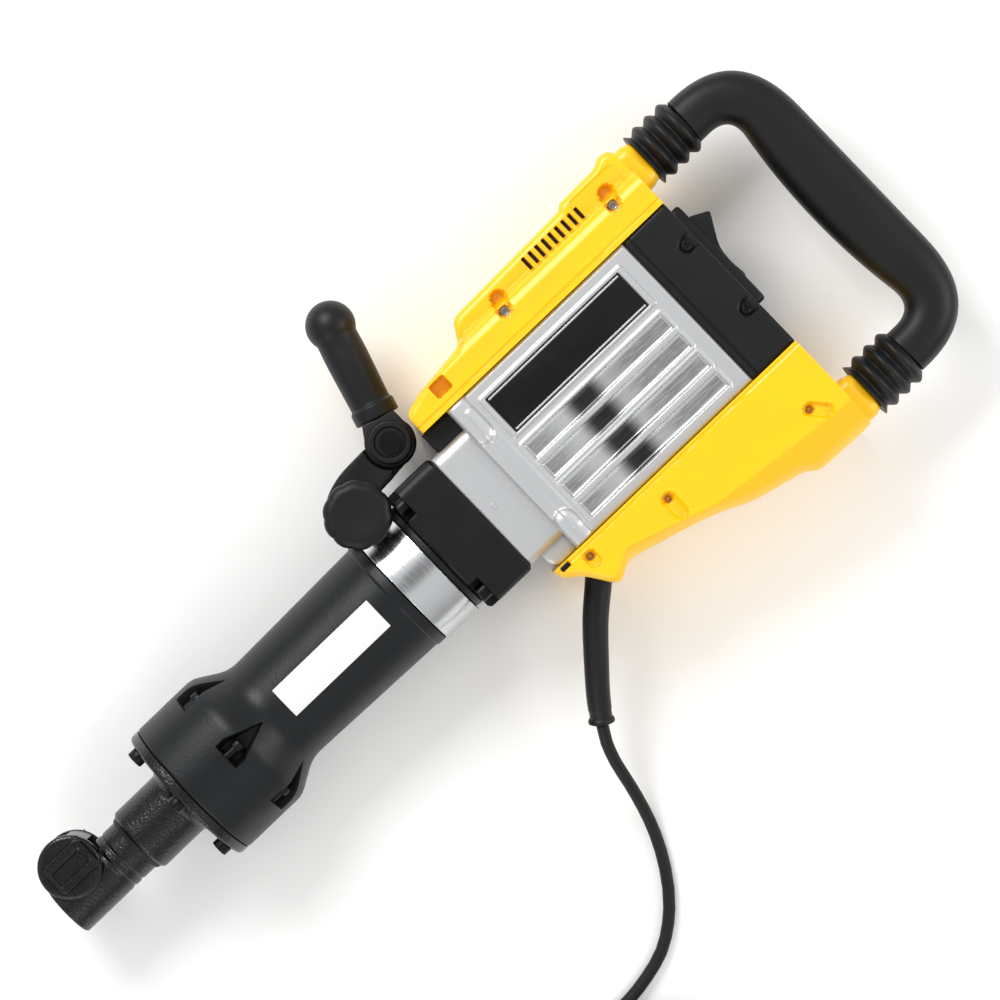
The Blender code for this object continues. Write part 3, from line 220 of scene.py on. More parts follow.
def grained(name, colour, rough, grain, depth, metallic=0.0, second=None, patch=0.02, spread=0.06,
            **shader_inputs):
    """A finish with a fine surface grain in metres, soft patches of a second colour, and a
    roughness that varies with the patches. The grain is only as deep as depth says."""
    made = bpy.data.materials.new(name)
    made.use_nodes = True
    tree = made.node_tree
    shader = tree.nodes["Principled BSDF"]
    place = add(tree, "ShaderNodeTexCoord").outputs["Object"]
    patches = add(tree, "ShaderNodeTexNoise", {"Vector": place, "Scale": 1 / patch, "Detail": 4.0})
    blend = add(tree, "ShaderNodeMix", {"Factor": patches.outputs["Fac"]}, data_type="RGBA")
    blend.inputs["A"].default_value = hex_colour(colour)
    blend.inputs["B"].default_value = hex_colour(second or colour)
    tree.links.new(blend.outputs["Result"], shader.inputs["Base Color"])
    vary = add(tree, "ShaderNodeMapRange", {"Value": patches.outputs["Fac"], "To Min": rough - spread,
                                            "To Max": rough + spread})
    tree.links.new(vary.outputs["Result"], shader.inputs["Roughness"])
    fine = add(tree, "ShaderNodeTexNoise", {"Vector": place, "Scale": 1 / grain, "Detail": 2.0})
    relief = add(tree, "ShaderNodeBump", {"Height": fine.outputs["Fac"], "Distance": depth, "Strength": 0.6})
    tree.links.new(relief.outputs["Normal"], shader.inputs["Normal"])
    shader.inputs["Metallic"].default_value = metallic
    for socket, value in shader_inputs.items():
        shader.inputs[socket.replace("_", " ")].default_value = value
    return made


# Rubber-sheathed cable: extruded matt rubber, so a soft dull sheen and almost no grain.
cable_rubber = grained("extruded_cable_rubber", "#0E0F10", 0.55, 0.0012, 0.00005, second="#131415",
                       Specular_IOR_Level=0.3)
cable_curve.materials.append(cable_rubber)
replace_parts(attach(mains_cord, "root"), "cord_tube", "cord_coil", "cord_tail")


# ---- Tool holder: a one-piece steel casting with a hex socket at the nose, blacked and oiled,
# so it is glossy. It carries the retainer lever between two round lugs.
def lattice(rows, columns, ring=False):
    """Four-cornered faces of a grid of points numbered row by row. A ring's last column meets its
    first."""
    row, column = np.meshgrid(np.arange(rows - 1), np.arange(columns if ring else columns - 1), indexing="ij")
    near, far = row * columns + column, row * columns + (column + 1) % columns
    return np.stack([near, far, far + columns, near + columns], -1).reshape(-1, 4)


def settle(name, points, faces, finish, body, slot, *stands_for, crease=34):
    """Makes one piece of points and faces: merges its seams, turns its faces outward, shades it
    smooth up to the crease angle in degrees, and says what it rides on and stands for. A piece
    that is blended across a joint rides on no body."""
    mesh = bpy.data.meshes.new(name)
    mesh.from_pydata(np.asarray(points, float).reshape(-1, 3).tolist(), [],
                     [list(map(int, face)) for face in faces])
    work = bmesh.new()
    work.from_mesh(mesh)
    bmesh.ops.remove_doubles(work, verts=work.verts, dist=2e-6)
    bmesh.ops.recalc_face_normals(work, faces=work.faces)
    work.to_mesh(mesh)
    work.free()
    mesh.shade_smooth()
    mesh.set_sharp_from_angle(angle=math.radians(crease))
    mesh.materials.append(finish)
    piece = bpy.data.objects.new(name, mesh)
    bpy.context.scene.collection.objects.link(piece)
    if body:
        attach(piece, body)
    if stands_for:
        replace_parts(piece, *stands_for)
    return piece


def softened(corners, closed=False, steps=5, share=0.45):
    """A line through corners (x, y, reach): each corner becomes a short parabola that leaves the
    straight sides at its reach, or at this share of a side where that is shorter."""
    spots = np.array([corner[:2] for corner in corners], float)
    reach = np.array([corner[2] if len(corner) > 2 else 0.0 for corner in corners])
    before, after = np.roll(spots, 1, 0) - spots, np.roll(spots, -1, 0) - spots
    lengths = [np.maximum(np.linalg.norm(side, axis=1), 1e-9) for side in (before, after)]
    pull = [np.minimum(reach, share * length) for length in lengths]
    if not closed:
        for side in pull:
            side[[0, -1]] = 0.0
    t = np.linspace(0.0, 1.0, steps)[None, :, None]
    start = (before / lengths[0][:, None] * pull[0][:, None])[:, None, :]
    end = (after / lengths[1][:, None] * pull[1][:, None])[:, None, :]
    curve = (spots[:, None, :] + start * (1 - t) ** 2 + end * t ** 2).reshape(-1, 2)
    keep = np.r_[True, np.linalg.norm(np.diff(curve, axis=0), axis=1) > 1e-7]
    return curve[keep]


def lathe(name, profile, place, axis, *what, steps=72, loop=False, shape=None, **options):
    """A turned piece: each profile point (along, radius) goes round the axis. shape(along, angle,
    radius) may give a new radius. A loop profile is a closed section, such as a ring's."""
    profile = np.asarray(profile, float)
    if loop:
        profile = np.vstack([profile, profile[:1]])
    axis = np.array(axis, float)
    across = np.array((0.0, 1.0, 0.0)) if abs(axis[1]) < 0.5 else np.array((1.0, 0.0, 0.0))
    across = across - axis * across.dot(axis)
    across /= np.linalg.norm(across)
    along, angle = np.meshgrid(profile[:, 0], np.linspace(0, 2 * np.pi, steps, endpoint=False), indexing="ij")
    radius = np.repeat(profile[:, 1:2], steps, 1)
    if shape:
        radius = shape(along, angle, radius)
    points = (np.array(place) + along[..., None] * axis + (radius * np.cos(angle))[..., None] * across
              + (radius * np.sin(angle))[..., None] * np.cross(axis, across))
    return settle(name, points, lattice(len(profile), steps, True), *what, **options)


def plate(name, outline, low, high, edge, *what, steps=5, **options):
    """A plate lying flat: an outline (x, y), closed, between two heights in either order, its rims
    rounded by rings that step in by edge x (1 - cos) as they rise by edge x sin."""
    low, high = sorted((low, high))
    outline = np.asarray(outline, float)
    side = np.roll(outline, -1, 0) - outline
    side /= np.maximum(np.linalg.norm(side, axis=1), 1e-9)[:, None]
    area = np.sum(outline[:, 0] * np.roll(outline[:, 1], -1) - outline[:, 1] * np.roll(outline[:, 0], -1))
    normal = np.stack([-side[:, 1], side[:, 0]], 1) * np.sign(area)
    inward = normal + np.roll(normal, 1, 0)
    inward /= np.maximum(np.sum(inward * normal, 1), 0.5)[:, None]
    bend = np.linspace(0, np.pi / 2, steps)
    step_in = np.r_[edge * (1 - np.sin(bend)), edge * (1 - np.cos(bend))]
    height = np.r_[low + edge * (1 - np.cos(bend)), high - edge * (1 - np.sin(bend))]
    flat = outline[None] + inward[None] * step_in[:, None, None]
    points = np.concatenate([flat, np.broadcast_to(height[:, None, None], (*flat.shape[:2], 1))], -1)
    count, around = flat.shape[:2]
    faces = lattice(count, around, True).tolist()
    faces += [list(range(around))[::-1], list(range((count - 1) * around, count * around))]
    return settle(name, points, faces, *what, **options)


def coat(finish, *names):
    """Gives carried-over nodes a finish."""
    for name in names:
        nodes[name].material_slots[0].material = finish


AXIS_Y, AXIS_Z = -0.0182, 0.0627
AXIS = (0.0, AXIS_Y, AXIS_Z)
ALONG = (1.0, 0.0, 0.0)
UPWARD = (0.0, 0.0, 1.0)
SIDES = ((1, "near"), (-1, "far"))
X_TIP, X_SLEEVE, HOLDER_R, HEX_FLATS, SOCKET_DEPTH = -0.3830, -0.3136, 0.0215, 0.0286, 0.1180
# Blacked casting: cast skin under oil, so its gloss is uneven and its dips catch no light.
blacked_casting = grained("blacked_steel_casting", "#040405", 0.22, 0.0020, 0.00070, second="#0B0C0D",
                          patch=0.009, spread=0.08, Specular_IOR_Level=0.45)
# Black oxide: the dark satin skin of hardened screws and pins.
black_oxide = grained("black_oxide_steel", "#1A1B1D", 0.34, 0.0007, 0.00002, metallic=0.85, second="#26282B",
                      patch=0.004)
# Zinc-plated steel: pale and bright, slightly clouded.
zinc_plate = grained("zinc_plated_steel", "#AEB2B6", 0.27, 0.0006, 0.00001, metallic=1.0, second="#8F949A",
                     patch=0.003, spread=0.08)


def hexagon(along, angle, radius):
    """A round section turned hexagonal: the radius at an angle is the half flat over its cosine."""
    folded = (angle + np.pi / 6) % (np.pi / 3) - np.pi / 6
    return radius / np.cos(folded)


def holder_shape(along, angle, radius):
    """The outside stays round, and the socket's wall is hexagonal."""
    return np.where(radius <= HEX_FLATS / 2 + 1e-4, hexagon(along, angle, radius), radius)


holder_line = softened([
    (X_TIP + SOCKET_DEPTH, 0.0), (X_TIP + SOCKET_DEPTH, HEX_FLATS / 2), (X_TIP + 0.0022, HEX_FLATS / 2),
    (X_TIP, HEX_FLATS / 2 + 0.0035, 0.0006), (X_TIP, HOLDER_R - 0.0008, 0.0005),
    (X_TIP + 0.0008, HOLDER_R, 0.0005),
    (-0.3385, HOLDER_R, 0.0015), (-0.3372, HOLDER_R - 0.0007, 0.0005), (-0.3355, HOLDER_R - 0.0007, 0.0005),
    (-0.3345, HOLDER_R, 0.0005), (-0.3310, HOLDER_R, 0.0010), (-0.3300, HOLDER_R - 0.0008, 0.0005),
    (-0.3287, HOLDER_R - 0.0008, 0.0005), (-0.3277, HOLDER_R, 0.0005), (-0.2630, HOLDER_R),
    (-0.2630, 0.0)])
lathe("tool_holder_casting", holder_line, AXIS, ALONG, blacked_casting, "root", "gloss_black_casting",
      "tool_holder", shape=holder_shape, steps=96)

# ---- Retainer: a cast cam lever that turns on a cross pin and keeps the bit's collar in. Two
# round cheeks lie beside the holder, joined over the top by a bridge.
PIN_X, PIN_Y = -0.3580, 0.0018
CHEEK_IN, CHEEK_OUT, LEVER_R, BRIDGE_IN = 0.0220, 0.0277, 0.0228, 0.0140
LUG_IN, LUG_R, LUG_T = 0.0171, 0.0150, 0.0045
cheek_line = softened([(0.0, 0.0), (0.0, LEVER_R, 0.0008), (0.0045, LEVER_R, 0.0016),
                       (0.0058, LEVER_R - 0.0022, 0.0010), (0.0054, 0.0150, 0.0012), (0.0054, 0.0)])
lug_line = softened([(0.0, 0.0), (0.0, LUG_R), (LUG_T, LUG_R, 0.0005), (LUG_T, 0.0)])
for side, name in SIDES:
    lathe(f"retainer_cheek_{name}", cheek_line, (PIN_X, PIN_Y, AXIS_Z + side * CHEEK_IN), (0, 0, side),
          blacked_casting, "retainer", "gloss_black_casting", steps=96)
for side, name in SIDES:
    lathe(f"retainer_lug_{name}", lug_line, (PIN_X, PIN_Y, AXIS_Z + side * LUG_IN), (0, 0, side),
          blacked_casting, "root", "gloss_black_casting")


def inside_bar(x, y, x_range, y_range, corner):
    """The distance inside a rounded rectangle, negative outside it."""
    half_x, half_y = (x_range[1] - x_range[0]) / 2 - corner, (y_range[1] - y_range[0]) / 2 - corner
    over_x, over_y = np.abs(x - sum(x_range) / 2) - half_x, np.abs(y - sum(y_range) / 2) - half_y
    beyond = np.hypot(np.maximum(over_x, 0), np.maximum(over_y, 0))
    return corner - beyond - np.minimum(np.maximum(over_x, over_y), 0)


def two_faced(name, x, y, high, low, *what, **options):
    """A solid between two height fields on one grid (x, y): both faces, and walls round the rim."""
    rows, columns = x.shape
    top = lattice(rows, columns)
    count = rows * columns
    rim = np.concatenate([np.arange(columns), np.arange(1, rows) * columns + columns - 1,
                          (rows - 1) * columns + np.arange(columns - 2, -1, -1),
                          np.arange(rows - 2, 0, -1) * columns])
    after = np.roll(rim, -1)
    wall = np.stack([rim, rim + count, after + count, after], 1)
    faces = np.concatenate([top[:, ::-1], top + count, wall])
    points = np.stack([np.stack([x, y, high], -1), np.stack([x, y, low], -1)])
    return settle(name, points, faces, *what, **options)


# The pad on each cheek: a raised panel, a bar on it with a lip, and a recess along the bar.
PAD_X, PAD_Y = (-0.3750, -0.3385), (-0.0115, 0.0150)
pad_x, pad_y = np.meshgrid(np.linspace(*PAD_X, 130), np.linspace(*PAD_Y, 96), indexing="ij")
pad_rise = 0.0024 * ease(inside_bar(pad_x, pad_y, PAD_X, PAD_Y, 0.0060) / 0.0016)
pad_rise += 0.0008 * ease(inside_bar(pad_x, pad_y, (-0.3722, -0.3425), (-0.0062, 0.0082), 0.0030) / 0.0008)
pad_rise -= 0.0026 * ease(inside_bar(pad_x, pad_y, (-0.3706, -0.3441), (-0.0046, 0.0066), 0.0020) / 0.0008)
for side, name in SIDES:
    face = AXIS_Z + side * (CHEEK_OUT - 0.0002)
    faces_of_pad = (face + side * pad_rise, np.full_like(pad_rise, face - side * 0.0020))
    two_faced(f"retainer_pad_{name}", pad_x, pad_y, *faces_of_pad[::side], blacked_casting, "retainer",
              "gloss_black_casting")


def arc(centre, radius, turns):
    """Points (x, y) of a circle at the given angles in radians."""
    return np.column_stack([centre[0] + radius * np.cos(turns), centre[1] + radius * np.sin(turns)])


bridge_turn = np.radians(np.linspace(16.0, 56.0, 14))
bridge_line = np.concatenate([arc((PIN_X, PIN_Y), LEVER_R - 0.0006, bridge_turn),
                              arc((PIN_X, PIN_Y), BRIDGE_IN, bridge_turn[::-1])])
plate("retainer_bridge", bridge_line, AXIS_Z - CHEEK_IN - 0.0030, AXIS_Z + CHEEK_IN + 0.0030, 0.0012,
      blacked_casting, "retainer", "gloss_black_casting", "retainer_lever")
coat(zinc_plate, "retainer_pin")

# ---- Nose housing: an iron casting with a smooth sleeve that flares into the front plate. It is
# painted dark grey; six cap screws hold it to the barrel.
X_PLATE, PLATE_T, X_BARREL, FLANGE_R = -0.2674, 0.0076, -0.2595, 0.0567
SLEEVE_R, BOLT_CIRCLE_R, BOLT_COUNT = 0.0259, 0.0495, 6
# Painted casting: satin dark grey enamel over cast iron, so the cast skin shows as a soft ripple.
painted_casting = grained("painted_iron_casting", "#0D1012", 0.40, 0.0022, 0.00020, second="#121518", patch=0.018,
                          spread=0.07, Specular_IOR_Level=0.30)
lathe("nose_housing_casting", softened([
    (X_SLEEVE, HOLDER_R + 0.0001), (X_SLEEVE, SLEEVE_R - 0.0020, 0.0008), (X_SLEEVE + 0.0022, SLEEVE_R, 0.0012),
    (X_PLATE - 0.0062, SLEEVE_R, 0.0020), (X_PLATE - 0.0030, SLEEVE_R + 0.0040, 0.0030),
    (X_PLATE, 0.0340, 0.0020),
    (X_PLATE, FLANGE_R - 0.0016, 0.0012), (X_PLATE + 0.0018, FLANGE_R - 0.0003, 0.0010),
    (X_PLATE + PLATE_T, FLANGE_R - 0.0003), (X_PLATE + PLATE_T, HOLDER_R + 0.0001)]),
    AXIS, ALONG, blacked_casting, "root", "dark_casting", "nose_housing", steps=144)
coat(cable_rubber, "front_seal")


def cap_screw(name, head_at, direction, head_r, head_len, shank_r, shank_len, finish, *what):
    """A socket cap screw turned from its shank's end to the key socket in its head."""
    key = head_r * 0.52
    line = softened([(shank_len, 0.0), (shank_len, shank_r), (0.0, shank_r), (0.0, head_r, 0.0003),
                     (-head_len, head_r, head_len * 0.16), (-head_len, key + 0.0006, 0.0003),
                     (-head_len + 0.0006, key), (-head_len * 0.45, key), (-head_len * 0.40, 0.0)], steps=4)
    lathe(name, line, head_at, direction, finish, *what, steps=48,
          shape=lambda along, angle, radius: np.where(
              (radius <= key + 1e-5) & (along < 0), hexagon(along, angle, radius * 0.92), radius))


def bolt_circle(x):
    """Number and place of each screw on the bolt circle."""
    for i in range(BOLT_COUNT):
        turn = math.radians(90 + 60 * i)
        yield i + 1, (x, AXIS_Y + BOLT_CIRCLE_R * math.cos(turn), AXIS_Z + BOLT_CIRCLE_R * math.sin(turn))


for number, spot in bolt_circle(X_PLATE - 0.0001):
    cap_screw(f"front_cap_screw_{number}", spot, ALONG, 0.0062, 0.0063, 0.0036, 0.0100, black_oxide, "root",
              "steel", f"front_screw_{number}")

# ---- Barrel: the main iron casting round the cylinder, painted like the nose. Its flange has six
# pointed pockets, where a screw head sits on the floor of each.
X_FLANGE_END, X_CONE_END, X_LIP, X_BAND, BAND_W = -0.2072, -0.1790, -0.0637, -0.0557, 0.0294
BARREL_NECK_R, BARREL_REAR_R, BAND_R, X_BARREL_END, BARREL_BORE_R = 0.0427, 0.0455, 0.0480, -0.0199, 0.0300
X_POCKET, POCKET_LEN, POCKET_HALF, POCKET_FLOOR_R = -0.2232, 0.0360, 0.0105, 0.0427
CELL, AROUND_A_POCKET = 0.0006, 84
barrel_line = softened([
    (X_BARREL, BARREL_BORE_R), (X_BARREL, FLANGE_R - 0.0014, 0.0010), (X_BARREL + 0.0014, FLANGE_R, 0.0010),
    (X_FLANGE_END, FLANGE_R, 0.0055), (X_CONE_END - 0.0080, BARREL_NECK_R + 0.0018, 0.0060),
    (X_CONE_END, BARREL_NECK_R, 0.0050), (X_LIP - 0.0012, BARREL_REAR_R, 0.0006),
    (X_LIP, BARREL_REAR_R + 0.0010, 0.0006), (X_BAND - 0.0010, BARREL_REAR_R + 0.0010, 0.0006),
    (X_BAND - 0.0002, BARREL_REAR_R - 0.0006, 0.0003), (X_BAND - 0.0001, 0.0446),
    (X_BAND + BAND_W + 0.0002, 0.0446), (X_BAND + BAND_W + 0.0008, 0.0455, 0.0003),
    (X_BARREL_END - 0.0010, 0.0460, 0.0008), (X_BARREL_END, 0.0450), (X_BARREL_END, BARREL_BORE_R)], steps=7)
# Stations along the skin: the outline's own points, and a fine spacing over the pockets.
outer_line = barrel_line[barrel_line[:, 1] > BARREL_BORE_R + 0.0010]
stations = np.unique(np.round(np.concatenate([
    barrel_line[:, 0], np.arange(X_POCKET - 0.0020, X_POCKET + POCKET_LEN + 0.0010, CELL), [X_POCKET]]), 6))
stations = stations[(stations >= outer_line[0, 0]) & (stations <= outer_line[-1, 0])]
outer_line = outer_line[np.argsort(outer_line[:, 0], kind="stable")]
rim_x = np.r_[X_BARREL, stations, X_BARREL_END]
rim_r = np.r_[BARREL_BORE_R, np.interp(stations, *outer_line.T), BARREL_BORE_R]


def pocket_depth(x, sweep):
    """How deep the skin is cut at a place: 1 in a pocket whose half width is constant and then
    tapers to its point, with a rounded lip about a millimetre wide."""
    half = POCKET_HALF * np.clip((X_POCKET + POCKET_LEN - x) / (POCKET_LEN - 0.0080), 0.0, 1.0)
    inside = np.minimum(half - np.abs(sweep), x - X_POCKET)
    return ease(inside / 0.0013)


def closed_tube(name, points, *what, **options):
    """A skin of rings, one row of points each, with a flat cap over the first and the last."""
    rows, around = points.shape[:2]
    faces = lattice(rows, around, True).tolist()
    faces += [list(range(around)), list(range((rows - 1) * around, rows * around))]
    return settle(name, points, faces, *what, **options)


def round_axis(x, turn, radius, y=AXIS_Y):
    """Points at angles and distances from a line along X, at this y and the tool axis's height."""
    return np.stack([x, y + radius * np.cos(turn), AXIS_Z + radius * np.sin(turn)], -1)


barrel_turn = np.linspace(0, 2 * np.pi, AROUND_A_POCKET * BOLT_COUNT, endpoint=False)
x_grid, turn_grid = np.meshgrid(rim_x, barrel_turn, indexing="ij")
skin_grid = np.repeat(rim_r[:, None], len(barrel_turn), 1)
off_pocket = (turn_grid + np.pi / BOLT_COUNT - np.pi / 2) % (2 * np.pi / BOLT_COUNT) - np.pi / BOLT_COUNT
depth = pocket_depth(x_grid, off_pocket * skin_grid)
floor_grid = np.minimum(skin_grid, POCKET_FLOOR_R / np.maximum(np.cos(off_pocket), 0.5))
skin_grid = skin_grid + (floor_grid - skin_grid) * depth
closed_tube("barrel_casting", round_axis(x_grid, turn_grid, skin_grid), painted_casting, "root", "dark_casting",
            "barrel", crease=40)
for number, spot in bolt_circle(X_POCKET + 0.0090):
    cap_screw(f"pocket_screw_{number}", spot, (-1, 0, 0), 0.0054, 0.0052, 0.0034, 0.0100, black_oxide, "root",
              "steel")

# Blank label: a pale foil glued to the barrel, without any lettering.
label_foil = grained("satin_label_foil", "#E8E9E9", 0.40, 0.0020, 0.00002, second="#DCDDDE", patch=0.02)
LABEL_X, LABEL_TOP, LABEL_HEIGHT, LABEL_T = (-0.1687, -0.0777), -0.0070, 0.0245, 0.0006
label_down, label_x = np.meshgrid(np.linspace(0.0, 1.0, 40), np.linspace(*LABEL_X, 60), indexing="ij")
label_r = np.interp(label_x, [X_CONE_END, X_LIP], [BARREL_NECK_R, BARREL_REAR_R])
label_y = LABEL_TOP - LABEL_HEIGHT * label_down - AXIS_Y
label_z = AXIS_Z + np.sqrt(label_r ** 2 - label_y ** 2)
two_faced("barrel_label", label_x, AXIS_Y + label_y, label_z + LABEL_T / 2, label_z - LABEL_T / 2, label_foil,
          "root", "stainless")

# ---- Clamp band of the side handle: a brushed stainless strip round the barrel's seat. Its strokes
# run round the band, so it shines in streaks along the tool.
def streaked(name, colour, rough, stretch, depth, **shader_inputs):
    """A brushed metal: noise pulled long along one axis gives streaks in roughness and height.
    The stretch is how many noise cells there are to a metre along each axis."""
    made = bpy.data.materials.new(name)
    made.use_nodes = True
    tree = made.node_tree
    shader = tree.nodes["Principled BSDF"]
    place = add(tree, "ShaderNodeTexCoord").outputs["Object"]
    pulled = add(tree, "ShaderNodeMapping", {"Vector": place, "Scale": stretch})
    strokes = add(tree, "ShaderNodeTexNoise", {"Vector": pulled.outputs["Vector"], "Scale": 1.0, "Detail": 3.0})
    clouds = add(tree, "ShaderNodeTexNoise", {"Vector": place, "Scale": 60.0, "Detail": 2.0})
    vary = add(tree, "ShaderNodeMapRange", {"Value": strokes.outputs["Fac"], "From Min": 0.3, "From Max": 0.7,
                                            "To Min": rough - 0.07, "To Max": rough + 0.09})
    tree.links.new(vary.outputs["Result"], shader.inputs["Roughness"])
    tone = add(tree, "ShaderNodeMix", {"Factor": clouds.outputs["Fac"]}, data_type="RGBA")
    tone.inputs["A"].default_value = hex_colour(colour)
    tone.inputs["B"].default_value = tuple(c * 0.86 for c in hex_colour(colour)[:3]) + (1.0,)
    tree.links.new(tone.outputs["Result"], shader.inputs["Base Color"])
    relief = add(tree, "ShaderNodeBump", {"Height": strokes.outputs["Fac"], "Distance": depth, "Strength": 0.5})
    tree.links.new(relief.outputs["Normal"], shader.inputs["Normal"])
    shader.inputs["Metallic"].default_value = 1.0
    for socket, value in shader_inputs.items():
        shader.inputs[socket.replace("_", " ")].default_value = value
    return made


brushed_stainless = streaked("brushed_stainless_strip", "#D6D8DA", 0.20, (2400.0, 60.0, 60.0), 0.00002)
lathe("clamp_band_strip", softened([
    (X_BAND, 0.0447), (X_BAND, BAND_R, 0.0005), (X_BAND + BAND_W, BAND_R, 0.0005), (X_BAND + BAND_W, 0.0447)]),
    AXIS, ALONG, brushed_stainless, "side_clamp", "stainless", steps=144, loop=True)
coat(brushed_stainless, "clamp_band")

# ---- Gearbox block: a square casting bolted to the barrel by four cap screws in its notched
# corners. It is cast aluminium under black paint.
X_BLOCK, X_NECK, BLOCK_HALF, NOTCH_DEPTH, NOTCH_LEN = -0.0196, 0.0217, 0.0529, 0.0225, 0.0093
CORNER_BOLT = 0.0406


def lines(low, high, coarse, keys=(), reach=0.0014, fine=0.00035):
    """Grid lines from low to high: a coarse spacing, and a fine one close to each key line."""
    close = [np.arange(key - reach, key + reach + fine / 2, fine) for key in keys]
    every = np.concatenate([np.linspace(low, high, int((high - low) / coarse) + 2), *close])
    every = np.unique(np.round(every[(every >= low) & (every <= high)], 6))
    return every[np.r_[True, np.diff(every) > fine * 0.45]]


def drop(distance, radius):
    """How far a rounded rim falls below its face at a distance from the edge: a quarter circle."""
    left = np.clip(radius - distance, 0.0, radius)
    return radius - np.sqrt(np.maximum(radius ** 2 - left ** 2, 0.0))


block_x, block_turn = np.meshgrid(lines(X_BLOCK, X_NECK, 0.0020, (X_BLOCK + 0.0090,), 0.0006, 0.0002),
                                  np.linspace(0, 2 * np.pi, 384, endpoint=False), indexing="ij")


def square_ring(angle, half, corner):
    """The radius of a rounded square at an angle, found by stepping out along the ray."""
    cosine, sine = np.cos(angle), np.sin(angle)
    flat = half / np.maximum(np.abs(cosine), np.abs(sine))
    inner = half - corner
    along = inner * (np.abs(cosine) + np.abs(sine))
    arc = along + np.sqrt(np.maximum(along ** 2 - 2 * inner ** 2 + corner ** 2, 0.0))
    at_corner = np.minimum(np.abs(flat * cosine), np.abs(flat * sine)) > inner
    return np.where(at_corner, arc, flat)


rim_fall = drop(np.minimum(block_x - X_BLOCK, X_NECK - block_x), 0.0030)
block_r = square_ring(block_turn, BLOCK_HALF, 0.0090) - rim_fall
# A notch is the corner of the square beyond both of its inner walls, for a screw head's length.
steepest = np.minimum(np.abs(np.cos(block_turn)), np.abs(np.sin(block_turn))).clip(0.3)
notch_r = (BLOCK_HALF - NOTCH_DEPTH) / steepest
in_notch = (ease((X_BLOCK + NOTCH_LEN - block_x) / 0.0006) > 0.5) & (notch_r < block_r)
block_r = np.where(in_notch, np.maximum(notch_r, 0.0440), block_r)
black_paint = grained("painted_black_casting", "#08090A", 0.42, 0.0022, 0.00018, second="#0D0E10", patch=0.015,
                      Specular_IOR_Level=0.28)
closed_tube("gearbox_block_casting", round_axis(block_x, block_turn, block_r), black_paint, "root",
            "black_plastic", "gearbox_block", crease=30)
for number, (side_y, side_z) in enumerate(((1, 1), (-1, 1), (1, -1), (-1, -1)), 1):
    spot = (X_BLOCK + 0.0088, AXIS_Y + side_y * CORNER_BOLT, AXIS_Z + side_z * CORNER_BOLT)
    cap_screw(f"corner_cap_screw_{number}", spot, ALONG, 0.0062, 0.0080, 0.0036, 0.0100, black_oxide, "root",
              "steel")

# ---- Crankcase neck: the sand-cast aluminium throat between the block and the motor housing, with
# its black plastic cap above. The casting is shot-blasted, so it is bright with a fine grit.
HOUSING_FRONT, BODY_TOP, BODY_BOTTOM, HOUSING_HALF_W = 0.0532, 0.0490, -0.0826, 0.0580
X_REAR, X_BACK, NECK_HALF, FOOT_TOP, FOOT_HALF_W = 0.2222, 0.2618, 0.0508, -0.0660, 0.0430
blasted_aluminium = grained("blasted_cast_aluminium", "#D0D1D2", 0.42, 0.0012, 0.00010, metallic=0.75,
                            second="#BFC1C3", patch=0.010, spread=0.07)
neck_x, neck_turn = np.meshgrid(lines(X_NECK, HOUSING_FRONT + 0.0010, 0.0025, (X_NECK + 0.0015,), 0.0016, 0.0004),
                                np.linspace(0, 2 * np.pi, 288, endpoint=False), indexing="ij")
neck_r = square_ring(neck_turn, NECK_HALF, 0.0085) - drop(neck_x - X_NECK, 0.0025)
closed_tube("crankcase_neck_casting", round_axis(neck_x, neck_turn, neck_r), blasted_aluminium, "root",
            "cast_aluminium", "crankcase_neck")
foot_line = softened([(X_NECK + 0.0095, FOOT_TOP), (X_NECK + 0.0095, -0.0745, 0.0030),
                      (X_NECK + 0.0135, BODY_BOTTOM, 0.0040), (HOUSING_FRONT + 0.0010, BODY_BOTTOM),
                      (HOUSING_FRONT + 0.0010, FOOT_TOP)], closed=True)
plate("neck_foot", foot_line, AXIS_Z - FOOT_HALF_W, AXIS_Z + FOOT_HALF_W, 0.0030, blasted_aluminium, "root",
      "cast_aluminium")


def rounded_box(x_pair, y_pair, reach, **options):
    """The outline of a rectangle with softened corners."""
    (x, end_x), (y, end_y) = x_pair, y_pair
    return softened([(x, y, reach), (end_x, y, reach), (end_x, end_y, reach), (x, end_y, reach)], closed=True,
                    **options)


plate("neck_mark", rounded_box((0.0305, 0.0330), (-0.0185, -0.0235), 0.0006), AXIS_Z + NECK_HALF - 0.0010,
      AXIS_Z + NECK_HALF + 0.0006, 0.0003, blasted_aluminium, "root", "cast_aluminium")
black_plastic = grained("moulded_black_nylon", "#0B0C0D", 0.46, 0.0009, 0.00009, second="#101214", patch=0.03,
                        Specular_IOR_Level=0.28)
CAP_FRONT, CAP_LOW, CAP_TOP, CAP_HALF_W = X_NECK + 0.0075, 0.0300, 0.0489, 0.0460
cap_x, cap_y = np.meshgrid(lines(CAP_FRONT, HOUSING_FRONT, 0.0022, (CAP_FRONT + 0.0010,)),
                           lines(CAP_LOW, CAP_TOP, 0.0015, (CAP_TOP - 0.0009,)), indexing="ij")
cap_half = CAP_HALF_W - drop(np.minimum(cap_x - CAP_FRONT, CAP_TOP - cap_y), 0.0030)
two_faced("crankcase_cap_moulding", cap_x, cap_y, AXIS_Z + cap_half, AXIS_Z - cap_half, black_plastic, "root",
          "black_plastic", "crankcase_cap")

